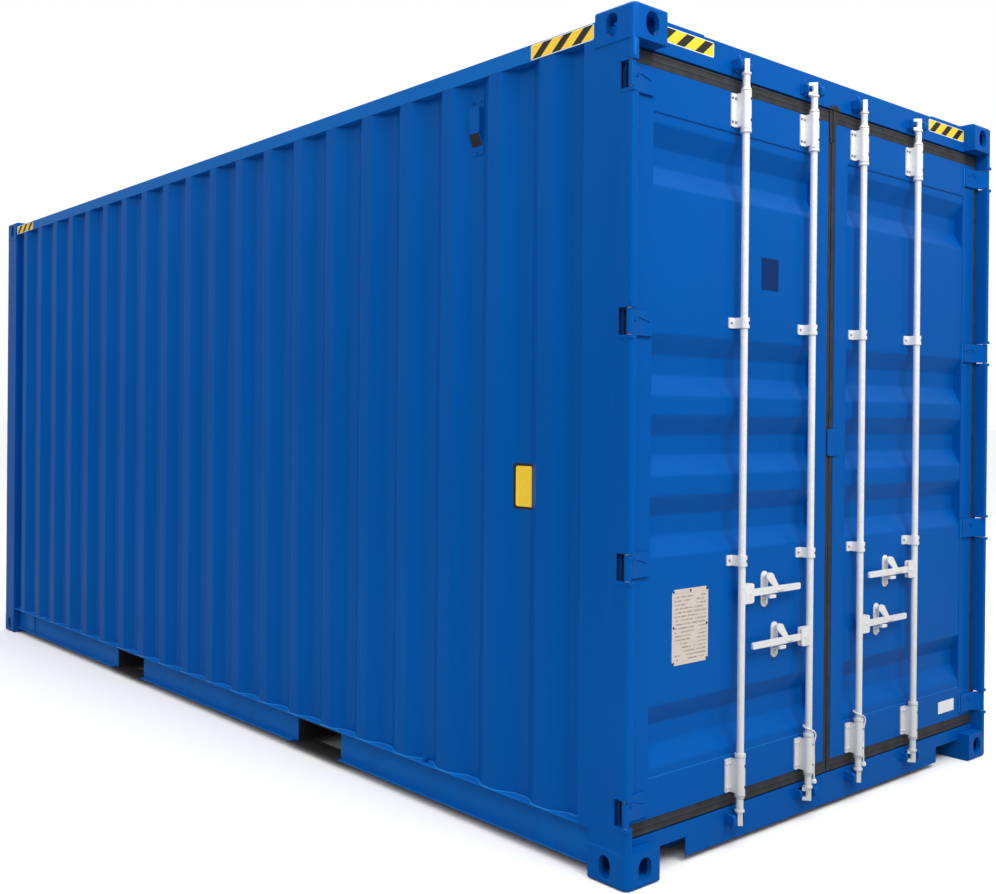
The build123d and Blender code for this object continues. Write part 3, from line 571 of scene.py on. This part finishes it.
# solids that keep their shape and get rounded edges
edgeRounding = {"corner_fittings_top": 0.0035, "corner_fittings_bottom": 0.0035, "rear_post_left": 0.0018,
                "rear_post_right": 0.0018, "front_posts": 0.0018, "top_side_rails": 0.003,
                "bottom_side_rails": 0.0016, "front_sill": 0.002, "front_header": 0.002, "door_header": 0.002,
                "door_sill": 0.002, "roof_panel": 0.0008, "roof_end_plates": 0.0012,
                "roof_guard_plates": 0.0015, "cam_keepers": 0.002,
                "door_hooks": 0.0015, "left_door_frame": 0.0012, "right_door_frame": 0.0012,
                "left_door_hinges": 0.002, "right_door_hinges": 0.002, "door_lap_plate": 0.0018,
                "hinge_pins": 0.0015, "left_door_bar_brackets": 0.0014, "right_door_bar_brackets": 0.0014,
                "left_door_handle_keeps": 0.0014, "right_door_handle_keeps": 0.0014,
                "left_door_seal": 0.003, "right_door_seal": 0.003}
gearRounding = {"lock_bar": 0.0014, "handle": 0.0016}
plainNodes = ("floor", "cross_members", "fork_pocket_roofs", "fork_pocket_sides", "fork_pocket_straps")
for node, width in edgeRounding.items():
    # the side rails take the paler enamel, a painted sheen
    dress(node, width, railSheenBlue if node.endswith("side_rails") else None)
for number in barSpots:
    for kind, width in gearRounding.items():
        dress("%s_%d" % (kind, number), width)
for node in plainNodes:
    mats = frame["nodes"][node].data.materials
    mats.clear()
    mats.append(slotLook[slotOf[node]])
print("solids dressed")

# forged noses on the keepers beside each claw, with a stop pin on bars 1 and 3
keeperNose = {"near": 0.030, "wide": 0.017, "wing": 0.026, "front": 10.0, "back": 52.0, "tall": 0.038,
              "round": 0.012, "halfPlate": 0.021, "soft": 0.003}
stopPin = {"radius": 0.0078, "inset": 26.0, "tall": 0.013, "sunk": 0.004,
           "tip": ((0.6, 1), (0.9, 0.75), (1, 0.35))}


def noseMesh(levels):
    n, pin = keeperNose, stopPin
    bm = bmesh.new()
    long, mid = (n["back"] - n["front"]) / 1000, deep((n["front"] + n["back"]) / 2)
    for number, y in barSpots.items():
        side, wide = (-1, n["wide"]) if number in (1, 3) else (1, n["wing"])
        for z, way in zip(levels, (-1, 1)):
            prism(bm, roundedBox(long, n["tall"], n["round"]), Vector((mid, y + side * n["near"], z)),
                  xWay, up, yWay * side, wide)
            if side < 0:
                seat = z + way * (n["tall"] / 2 - pin["sunk"])
                foot = Vector((deep(pin["inset"]), y - n["near"] - wide / 2, seat))
                rings = [(0, pin["radius"])]
                rings += [(pin["sunk"] + pin["tall"] * t, pin["radius"] * share) for t, share in pin["tip"]]
                lathe(bm, foot, up * way, rings, 16)
    return settle(bm, "keeper_noses")


keeperLow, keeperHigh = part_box("cam_keepers")
noses = noseMesh((keeperLow[2] + keeperNose["halfPlate"], keeperHigh[2] - keeperNose["halfPlate"]))
soften(show("keeper_noses", noses, blue, "container", "paint"), keeperNose["soft"], 3)
print("keepers nosed")

# bolts and set screws on the bar brackets and guides; the upper bolt heads are dark grey, painted shade for
# bolts sitting in shadow, while the foot bolts show the zinc
fixings = {"boltR": 0.0042, "boltH": 0.0036, "washerR": 0.0052, "washerH": 0.0010,
           "lowZ": 0.198, "topZ": 2.595, "guides": (0.3324, 0.6711), "boltZ": (0.017, 0.103),
           "boltY": (0.0400, 0.0230), "boltSeat": 51.0, "guideBoltY": 0.0330, "guideSeat": 53.0,
           "plugZ": (0.022, 0.098), "plugTurn": 0.30, "plugReach": 0.0182,
           "plug": ((0, 0.0055), (0.0014, 0.0055), (0.0018, 0.0030))}


def boltHead(bm, centre):
    f = fixings
    lathe(bm, centre, xWay, [(0, f["washerR"]), (f["washerH"], f["washerR"])], 18)
    head = [(0, f["boltR"]), (f["boltH"] * 0.75, f["boltR"]), (f["boltH"], f["boltR"] * 0.8)]
    lathe(bm, centre + xWay * f["washerH"], xWay, head, 6)


def addFixings(door, bars):
    f = fixings
    heads, lowHeads, plugs = bmesh.new(), bmesh.new(), bmesh.new()
    guideZ = [leafZ(share) for share in f["guides"]]
    plugZ = [foot + dz for foot in (f["lowZ"], f["topZ"]) for dz in f["plugZ"]] + guideZ
    out = Vector((math.cos(f["plugTurn"]), math.sin(f["plugTurn"]), 0))
    for y in (barSpots[number] for number in bars):
        for foot, bag in ((f["lowZ"], lowHeads), (f["topZ"], heads)):
            for dz in f["boltZ"]:
                for dy in f["boltY"]:
                    boltHead(bag, Vector((deep(f["boltSeat"]), y - dy, foot + dz)))
        for z in guideZ:
            boltHead(heads, Vector((deep(f["guideSeat"]), y - f["guideBoltY"], z)))
        for z in plugZ:
            lathe(plugs, Vector((barX, y, z)) + out * f["plugReach"], out, f["plug"], 14)
    show(door + "_bracket_bolts", settle(heads, door + "_bracket_bolts"), shadedBoltGrey, door, None)
    show(door + "_foot_bolts", settle(lowHeads, door + "_foot_bolts"), zinc, door, "zinc")
    show(door + "_set_screws", settle(plugs, door + "_set_screws"), darkSteelAndShade, door, None)


addFixings("left_door", (1, 2))
addFixings("right_door", (3, 4))

# striped films on the rails and headers
stripeFilm = {"border": 0.003, "thick": 0.0006, "lift": 0.0002, "black": 0.045, "pitch": 0.100,
              "lead": 0.003, "lean": 1.2, "round": 0.008}


def stripes(name, corner, u, v, w, h):
    s = stripeFilm
    n = u.cross(v)
    bm = bmesh.new()
    middle = corner + u * (w / 2) + v * (h / 2)
    prism(bm, roundedBox(w, h, s["round"]), middle, u, v, n, s["thick"])
    inner = roundedBox(w - 2 * s["border"], h - 2 * s["border"], s["round"] * 0.5)
    top = [bm.verts.new(middle + u * a + v * b + n * (s["thick"] + s["lift"])) for a, b in inner]
    field = bm.faces.new(top)
    field.material_index = 1
    cutNormal = (u - v * s["lean"]).normalized()
    count = math.ceil((w + h - s["lead"]) / s["pitch"])
    starts = [s["lead"] + s["pitch"] * k for k in range(count)]
    for at in [edge for start in starts for edge in (start, start + s["black"])]:
        faces = [f for f in bm.faces if f.material_index == 1]
        geom = faces + list({e for f in faces for e in f.edges}) + list({x for f in faces for x in f.verts})
        bmesh.ops.bisect_plane(bm, geom=geom, plane_co=corner + u * at, plane_no=cutNormal, dist=1e-6)
    for f in bm.faces:
        if f.material_index == 1:
            c = f.calc_center_median() - corner
            place = c.dot(u) - c.dot(v) * s["lean"] - s["lead"]
            if place > 0 and place % s["pitch"] < s["black"]:
                f.material_index = 2
    mesh = bpy.data.meshes.new(name)
    bm.to_mesh(mesh)
    bm.free()
    show(name, mesh, [filmWhite, filmYellow, filmBlack], "container", None)


railFilm = {"runs": ((2.528, 2.841, "rear"), (-2.841, -2.528, "front")), "y": 1.213, "z": 2.8105,
            "high": 0.055}
headerFilm = {"starts": ((-1.058, "left"), (0.742, "right")), "wide": 0.312, "rearX": deep(54),
              "rearZ": 2.8175, "rearHigh": 0.054, "frontX": -3.019, "frontZ": 2.806, "frontHigh": 0.056}
for side, tag in flanks:
    for x0, x1, end in railFilm["runs"]:
        corner = Vector((x0 if side < 0 else x1, side * railFilm["y"], railFilm["z"]))
        stripes("stripes_%s_%s_rail" % (tag, end), corner, xWay * -side, up, x1 - x0, railFilm["high"])
for y0, tag in headerFilm["starts"]:
    corner = Vector((headerFilm["rearX"], y0, headerFilm["rearZ"]))
    stripes("stripes_rear_header_" + tag, corner, yWay, up, headerFilm["wide"], headerFilm["rearHigh"])
    corner = Vector((headerFilm["frontX"], -y0, headerFilm["frontZ"]))
    stripes("stripes_front_header_" + tag, corner, -yWay, up, headerFilm["wide"], headerFilm["frontHigh"])

# height film in a valley near the doors, laid over the folds
heightFilm = {"x0": 2.421, "x1": 2.534, "z0": 1.210, "z1": 1.376, "border": 0.0095, "lift": 0.0006,
              "round": 0.008, "steps": 60}


def foldedFilm(name, inset, lift, mat):
    h = heightFilm
    wide = h["x1"] - h["x0"] - 2 * inset
    turns = [math.pi * k / h["steps"] for k in range(h["steps"] + 1)]
    xs = [h["x0"] + inset + wide * (1 - math.cos(a)) / 2 for a in turns]
    bm = bmesh.new()
    rows = [[], []]
    for x in xs:
        edge = max(h["round"] - min(x - xs[0], xs[-1] - x), 0)
        cut = inset + h["round"] - math.sqrt(h["round"] ** 2 - edge ** 2)
        for row, z in zip(rows, (h["z0"] + cut, h["z1"] - cut)):
            row.append(bm.verts.new((x, -wallY(x) - lift, z)))
    for k in range(h["steps"]):
        bm.faces.new((rows[0][k], rows[0][k + 1], rows[1][k + 1], rows[1][k]))
    show(name, settle(bm, name, beadAngle), mat, "container", None)


foldedFilm("height_film_edge", 0.0, heightFilm["lift"], filmBlack)
foldedFilm("height_film_field", heightFilm["border"], heightFilm["lift"] * 2, filmYellow)


# plates and films on the doors
def flatPiece(name, ys, zs, x, thick, mat, body, corner, steps=5):
    bm = bmesh.new()
    middle = Vector((x, sum(ys) / 2, sum(zs) / 2))
    prism(bm, roundedBox(ys[1] - ys[0], zs[1] - zs[0], corner, steps), middle, yWay, up, xWay, thick)
    return show(name, settle(bm, name), mat, body, None)


def addDataPlate():
    d = dataPlate
    seat = deep(doorSheet["face"])
    plate = flatPiece("data_plate", d["y"], d["z"], seat, d["thick"], plateMetal, "left_door", d["notch"], 1)
    soften(plate, d["soft"])
    middle = Vector((seat + d["thick"], sum(d["y"]) / 2, sum(d["z"]) / 2))
    reachY, reachZ = [(d[k][1] - d[k][0]) / 2 - d["pinInset"] for k in ("y", "z")]
    pins = bmesh.new()
    for sy, sz in d["pins"]:
        lathe(pins, middle + yWay * (sy * reachY) + up * (sz * reachZ), xWay, d["pinShape"], 14)
    show("data_plate_rivets", settle(pins, "data_plate_rivets"), darkSteelAndShade, "left_door", None)


addDataPlate()
doorFilms = {"thick": 0.0005, "round": 0.003, "navyY": (-0.452, -0.346), "navyZ": (2.024, 2.144),
             "whiteY": (0.879, 1.018), "whiteZ": (0.232, 0.285), "whiteSeat": 56.0}
for tone, seat, mat, door in (("navy", doorSheet["face"], filmNavy, "left_door"),
                              ("white", doorFilms["whiteSeat"], filmWhite, "right_door")):
    flatPiece(tone + "_film", doorFilms[tone + "Y"], doorFilms[tone + "Z"], deep(seat), doorFilms["thick"],
              mat, door, doorFilms["round"])
print("films and plates laid")

# wall vents: a flange, a hood and a dark mesh under it, laid on a dark sheet that is painted shade for the
# shadowed opening behind
ventCover = {"w": 0.068, "h": 0.217, "round": 0.006, "flange": 0.003, "hoodW": 0.058, "hoodH": 0.103,
             "hoodD": 0.0185, "hoodRound": 0.007, "hoodDrop": 0.034, "slope": 0.046, "cheek": 0.002,
             "z": 2.643, "soft": 0.0018, "rivetX": 0.021, "rivetTop": 0.015, "rivetFoot": 0.011,
             "rivet": ((0, 0.0055), (0.003, 0.005), (0.004, 0.0025)), "places": ((-1, 2.193), (1, -2.255))}
ventWires = {"count": 9, "half": 0.0008, "inset": 0.001, "sunk": 0.0009, "uprights": 0.0012, "rungs": 0.0008,
             "sheetSunk": 0.0014, "sheet": 0.0006}


def strip(a0, a1, b0, b1):
    return [(a0, b0), (a1, b0), (a1, b1), (a0, b1)]


def ventPiece(side, x):
    c, wires = ventCover, ventWires
    u, n = xWay * -side, yWay * side
    base = Vector((x, side * sideSheet["low"], c["z"]))
    front = base + n * c["flange"]
    bm = bmesh.new()
    prism(bm, roundedBox(c["w"], c["h"], c["round"]), base, u, up, n, c["flange"])
    top = c["h"] / 2 - c["hoodDrop"]
    hood = roundedBox(c["hoodW"], c["hoodH"], c["hoodRound"])
    prism(bm, [(a, b + top - c["hoodH"] / 2) for a, b in hood], front, u, up, n, c["hoodD"])
    foot = front + up * (top - c["hoodH"] - c["slope"])
    rise = up * c["slope"] + n * c["hoodD"]
    tall, v = rise.length, rise.normalized()
    facing = (n * c["slope"] - up * c["hoodD"]).normalized()
    half = c["hoodW"] / 2 - c["cheek"]
    for a in (-c["hoodW"] / 2, half):
        prism(bm, [(0, 0), (c["slope"], 0), (c["slope"], c["hoodD"])], foot + u * a, up, n, u, c["cheek"])
    high, low = c["h"] / 2 - c["rivetTop"], c["rivetFoot"] - c["h"] / 2
    for a, b in ((-c["rivetX"], high), (c["rivetX"], high), (0, low)):
        lathe(bm, front + u * a + up * b, n, c["rivet"], 12)
    grid = bmesh.new()
    # the dark sheet behind the wires is painted shade
    prism(grid, strip(-half, half, 0, tall), foot - facing * wires["sheetSunk"], u, v, facing, wires["sheet"])
    seat = foot - facing * wires["sunk"]
    shares = [k / (wires["count"] - 1) for k in range(wires["count"])]
    for a in (-half + 2 * half * t for t in shares):
        upright = strip(a - wires["half"], a + wires["half"], 0, tall)
        prism(grid, upright, seat, u, v, facing, wires["uprights"])
    for b in (wires["inset"] + (tall - 2 * wires["inset"]) * t for t in shares):
        rung = strip(-half, half, b - wires["half"], b + wires["half"])
        prism(grid, rung, seat, u, v, facing, wires["rungs"])
    return settle(bm, "vent"), settle(grid, "vent_mesh")


vents = [ventPiece(*place) for place in ventCover["places"]]
covers = [show("vent_cover_%d" % k, m[0], blue, "container", "paint") for k, m in enumerate(vents)]
for k, m in enumerate(vents):
    show("vent_mesh_%d" % k, m[1], darkSteelAndShade, "container", None)
for cover in covers:
    soften(cover, ventCover["soft"])
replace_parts(covers[0], "vents")

# lips on the door gaskets, in pairs along three edges and single in the middle
gasket = {"front": 58.0, "proud": 0.0013, "rib": 0.009, "pair": (-0.011, 0.009), "pull": 0.7,
          "levels": (0.1615, 2.755), "across": (0.03, 1.176), "outer": 1.171, "outerZ": (0.20, 2.72),
          "inner": 0.0142, "innerZ": (0.15, 2.76),
          "shape": ((-0.5, 0), (-0.38, 0.7), (0, 1), (0.38, 0.7), (0.5, 0))}


def rib(bm, ends, across):
    shape = [(s * gasket["rib"], t * gasket["proud"]) for s, t in gasket["shape"]]
    rows = [[bm.verts.new(p + across * s + xWay * t) for s, t in shape] for p in ends]
    for k in range(len(shape) - 1):
        bm.faces.new((rows[0][k], rows[0][k + 1], rows[1][k + 1], rows[1][k]))
    bm.faces.new(rows[0])
    bm.faces.new(list(reversed(rows[1])))


for side, door in doors:
    bm = bmesh.new()
    x = deep(gasket["front"])
    for off in gasket["pair"]:
        for level in gasket["levels"]:
            rib(bm, [Vector((x, side * y, level + off)) for y in gasket["across"]], up)
        outer = side * (gasket["outer"] + off * gasket["pull"])
        rib(bm, [Vector((x, outer, z)) for z in gasket["outerZ"]], yWay)
    rib(bm, [Vector((x, side * gasket["inner"], z)) for z in gasket["innerZ"]], yWay)
    show(door + "_seal_lips", settle(bm, door + "_seal_lips", beadAngle), rubber, door, "seal")

# gasket flaps over the joint of the two doors, the right one the wider
flap = {"left_door": ((-0.0032, 2.640), (-0.016, 2.640), (-0.022, 2.700), (-0.022, 2.773), (-0.0032, 2.773)),
        "right_door": ((0.0032, 2.650), (0.012, 2.650), (0.018, 2.700), (0.040, 2.746), (0.054, 2.773),
                       (0.0032, 2.773)),
        "left_door_lip": ((-0.0032, 2.768), (-0.022, 2.768), (-0.020, 2.787), (-0.0032, 2.790)),
        "right_door_lip": ((0.0032, 2.768), (0.051, 2.768), (0.046, 2.784), (0.034, 2.792), (0.0032, 2.793)),
        "front": 52.8, "seat": 57.0, "lipSeat": 53.8, "soft": 0.0005}
for side, door in doors:
    bm = bmesh.new()
    for shape, seat in ((flap[door], flap["seat"]), (flap[door + "_lip"], flap["lipSeat"])):
        prism(bm, shape, xWay * deep(seat), yWay, up, xWay, (seat - flap["front"]) / 1000)
    soften(show(door + "_seal_flap", settle(bm, door + "_seal_flap"), rubber, door, "seal"), flap["soft"])

# weld beads; those in the paler blue carry a painted highlight, as if they catch the light
weld = {"foot": 0.0040, "joint": 0.0036, "mark": 0.0030, "seam": 0.0012, "sides": 8, "footOut": 0.0012,
        "footUp": 0.0014, "levels": (0.118, 2.778)}
fittingRuns = (((2.8515, 1.2152), (2.9900, 1.2152), (3.0070, 1.2130), (3.0200, 1.2020), (3.0248, 1.1895)),
               ((-2.8515, 1.2152), (-3.0000, 1.2152), (-3.0180, 1.2080), (-3.0252, 1.1900),
                (-3.0252, 1.0700)))


def bead(name, lines, body, radius, mat):
    bm = bmesh.new()
    for line in lines:
        tube(bm, [Vector(p) for p in line], radius, weld["sides"])
    show(name, settle(bm, name, beadAngle), mat, body, "paint")


for side, tag in flanks:
    foot = [(p[0], side * (p[1] + weld["footOut"]), sideSheet["z0"] + weld["footUp"]) for p in wallRun]
    bead("wall_foot_weld_" + tag, [foot], "container", weld["foot"], weldHighlightBlue)
    joints = [[(x, side * y, z) for x, y in run] for z in weld["levels"] for run in fittingRuns]
    bead("fitting_weld_" + tag, joints, "container", weld["joint"], blue)

# welds on each hinge blade: a chevron mark and the run at its end, in mm from the hinge line; the end run is
# in the paler blue, a painted highlight
hingeBlade = {"low": 0.251, "top": 2.662, "count": 4,
              "chevron": ((52, 45.4, 6), (72, 45.4, 21), (122, 45.4, 7)),
              "end": ((138.6, 54.6, -42), (138.6, 54.6, 42))}
hingeStep = (hingeBlade["top"] - hingeBlade["low"]) / (hingeBlade["count"] - 1)
hingeLevels = [hingeBlade["low"] + k * hingeStep for k in range(hingeBlade["count"])]
for side, door in doors:
    for tag, shape, mat in (("mark", "chevron", blue), ("weld", "end", weldHighlightBlue)):
        lines = [[(deep(d), pivots[door][1] - side * s / 1000, z + dz / 1000)
                  for s, d, dz in hingeBlade[shape]] for z in hingeLevels]
        bead("%s_hinge_%s" % (door, tag), lines, door, weld["mark"], mat)

# a dark strip at the top of each door sheet, a painted shadow line under the step of the rail above, and the
# weld at its foot in paler blue, a painted highlight
lap = {"high": 0.0032, "thick": 0.0004, "drop": 0.0030, "round": 0.0005, "weldSeat": 57.6, "weldUp": 0.001}
lapZ = doorSheet["z1"] - lap["drop"]
for side, door in doors:
    flatPiece(door + "_lap_shadow_line", panelEnds(side), (lapZ - lap["high"] / 2, lapZ + lap["high"] / 2),
              deep(doorSheet["face"]), lap["thick"], lapShadowBlue, door, lap["round"], 2)
for side, door in doors:
    weldZ = doorSheet["z0"] + lap["weldUp"]
    run = [(deep(lap["weldSeat"]), side * y, weldZ) for y in (doorSheet["y0"], doorSheet["y1"])]
    bead(door + "_panel_weld", [run], door, weld["seam"], weldHighlightBlue)
print("seals and welds added")

# tie back ropes: laid strands round the smooth line of the route, in mm from the bar's axis and the ground
tieRope = {"radius": 0.0035, "twist": 0.024, "strands": 3, "sides": 7, "knotIn": 17.75, "knotY": 0.032,
           "knotZ": 0.1475}
routeRuns = [(28, -7.5, 156), (28, -7.5, 191.1), (21.7415, -5.8702, 230.1), (21.7415, -5.8702, 286.65),
             (31, -13, 324), (16.5, -18.4016, 344), (-9, -18.4016, 356), (-21.2, -1, 363),
             (-11, 18.4016, 367), (10.6, 18.4016, 364), (25, 8, 352), (34, 4, 327), (37.5, 1, 296.4),
             (38.5, -0.5, 247.65), (36, -1, 195), (36, -1, 156)]


def ropeLine(points):
    curve = bpy.data.curves.new("rope_line", "CURVE")
    curve.dimensions = "3D"
    spline = curve.splines.new("NURBS")
    spline.points.add(len(points) - 1)
    for slotPoint, p in zip(spline.points, points):
        slotPoint.co = (*p, 1)
    spline.order_u = 3
    spline.use_endpoint_u = True
    spline.resolution_u = 14
    guide = bpy.data.objects.new("rope_line", curve)
    bpy.context.scene.collection.objects.link(guide)
    bpy.context.view_layer.update()
    shape = bpy.data.meshes.new_from_object(guide.evaluated_get(bpy.context.evaluated_depsgraph_get()))
    line = [v.co.copy() for v in shape.vertices]
    bpy.data.objects.remove(guide)
    bpy.data.meshes.remove(shape)
    return line


def laidRope(line):
    # three strands that touch each other and fill the rope's width
    strand = tieRope["radius"] / (1 + 2 / math.sqrt(3))
    off = tieRope["radius"] - strand
    bm = bmesh.new()
    frames = []
    side, walked = None, 0.0
    for k, p in enumerate(line):
        t = (line[min(k + 1, len(line) - 1)] - line[max(k - 1, 0)]).normalized()
        side = t.orthogonal().normalized() if side is None else (side - t * side.dot(t)).normalized()
        walked += (p - line[k - 1]).length if k else 0.0
        frames.append((p, side, t.cross(side), walked))
    for s in range(tieRope["strands"]):
        path = []
        for p, u, v, d in frames:
            a = 2 * math.pi * (d / tieRope["twist"] + s / tieRope["strands"])
            path.append(p + (u * math.cos(a) + v * math.sin(a)) * off)
        tube(bm, path, strand, tieRope["sides"])
    return bm


# the knot is a closed trefoil round a core
knotForm = {"loop": 0.0025, "rise": 0.0049, "strand": 0.0034, "steps": 72, "sides": 9,
            "core": ((-0.0085, 0.004), (-0.0072, 0.0072), (-0.004, 0.0088), (0.004, 0.0092),
                     (0.0072, 0.0088), (0.0085, 0.0075))}


def knotMesh(centre):
    k = knotForm
    bm = bmesh.new()
    path = []
    for t in (2 * math.pi * step / k["steps"] for step in range(k["steps"])):
        path.append(centre + Vector(((math.sin(t) + 2 * math.sin(2 * t)) * k["loop"],
                                     (math.cos(t) - 2 * math.cos(2 * t)) * k["loop"],
                                     -math.sin(3 * t) * k["rise"])))
    tube(bm, path, k["strand"], k["sides"], True)
    lathe(bm, centre, up, k["core"], 24)
    return settle(bm, "rope_knot", beadAngle)


for (side, door), number in zip(doors, (2, 3)):
    y = barSpots[number]
    line = ropeLine([Vector((barX - d / 1000, y + dy / 1000, z / 1000)) for dy, d, z in routeRuns])
    skin = settle(laidRope(line), door + "_rope_look", ropeAngle)
    rope = show(door + "_rope_look", skin, ropeYarn, door, "rope")
    tied = Vector((deep(tieRope["knotIn"]), y + tieRope["knotY"], tieRope["knotZ"]))
    knot = show(door + "_knot_look", knotMesh(tied), ropeYarn, door, "rope")
    length = sum((b - a).length for a, b in zip(line, line[1:]))
    print(door, "rope length", round(length, 4))
    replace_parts(rope, door + "_rope")
    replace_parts(knot, door + "_rope_knot")
    tuple(line[0])
    [tuple(p) for p in line]
print("ropes tied")

# studio: pale floor, white surround, soft lamps
studio = {"horizon": 0.40, "zenith": 1.25, "floor": 0.97, "bounce": 0.40, "floorRough": 0.9,
          "floorReach": 300, "floorSink": 0.0005}
scene = bpy.context.scene
world = bpy.data.worlds.new("surround")
scene.world = world
world.use_nodes = True
sky = Wire(world.node_tree)
eye = sky.node("ShaderNodeLightPath", None, None, "Is Camera Ray")
height = sky.node("ShaderNodeTexCoord", None, None, "Generated").axes()[2].ease(0.0, 1.0)
level = height * (studio["zenith"] - studio["horizon"]) + studio["horizon"]
back = world.node_tree.nodes["Background"]
back.inputs["Color"].default_value = (1, 1, 1, 1)
world.node_tree.links.new((eye + (1 - eye) * level).socket, back.inputs["Strength"])

bm = bmesh.new()
bmesh.ops.create_grid(bm, x_segments=1, y_segments=1, size=studio["floorReach"])
floorMesh = bpy.data.meshes.new("studio_floor")
bm.to_mesh(floorMesh)
bm.free()
ground = bpy.data.objects.new("studio_floor", floorMesh)
scene.collection.objects.link(ground)
pale = bpy.data.materials.new("pale_floor")
pale.use_nodes = True
tree = pale.node_tree
shader = tree.nodes["Principled BSDF"]
shader.inputs["Roughness"].default_value = studio["floorRough"]
shader.inputs["Specular IOR Level"].default_value = 0.0
floorEye = Wire(tree).node("ShaderNodeLightPath", None, None, "Is Camera Ray")
dim, white = [tint(v, v, v) for v in (studio["bounce"], studio["floor"])]
tree.links.new(floorEye.blend(dim, white).socket, shader.inputs["Base Color"])
floorMesh.materials.append(pale)
ground.location.z = -studio["floorSink"]

# place, aim, size and watts of each lamp
lamps = {"door_lamp": ((7.2, -0.9, 6.3), (3.0, -0.4, 1.5), (4.0, 3.0), 265.0),
         "corner_lamp": ((7.5, -5.8, 5.5), (3.0, -1.2, 1.5), (2.5, 2.5), 120.0),
         "side_lamp": ((-1.5, -9.0, 6.0), (-1.5, -1.2, 1.4), (8.0, 4.0), 60.0),
         "roof_lamp": ((0.5, -0.5, 9.5), (0.5, -0.5, 2.9), (9.0, 7.0), 440.0)}


def softLamp(name, place, aim, size, watts):
    data = bpy.data.lights.new(name, "AREA")
    data.energy = watts
    data.shape = "RECTANGLE"
    data.size, data.size_y = size
    lamp = bpy.data.objects.new(name, data)
    scene.collection.objects.link(lamp)
    lamp.location = place
    lamp.rotation_euler = (Vector(aim) - Vector(place)).to_track_quat("-Z", "Y").to_euler()


for name, lamp in lamps.items():
    softLamp(name, *lamp)

# camera from the fit to the corner fittings
view = {"place": (5.562442, -3.972597, 1.532723), "right": (0.66077348, 0.75053304, 0.00886316),
        "down": (0.00812464, 0.00465566, -0.99995616), "ahead": (-0.7505414, 0.66081652, -0.00302148),
        "lens": 41.63, "sensor": 36, "shift": (-0.01126, -0.0237)}
camData = bpy.data.cameras.new("camera")
camData.lens = view["lens"]
camData.sensor_width = view["sensor"]
camData.sensor_fit = "HORIZONTAL"
camData.shift_x, camData.shift_y = view["shift"]
camera = bpy.data.objects.new("camera", camData)
scene.collection.objects.link(camera)
turn = Matrix((view["right"], [-a for a in view["down"]], [-a for a in view["ahead"]])).transposed()
camera.matrix_world = Matrix.Translation(view["place"]) @ turn.to_4x4()
scene.camera = camera
scene.view_settings.view_transform = "Standard"
print("studio set")
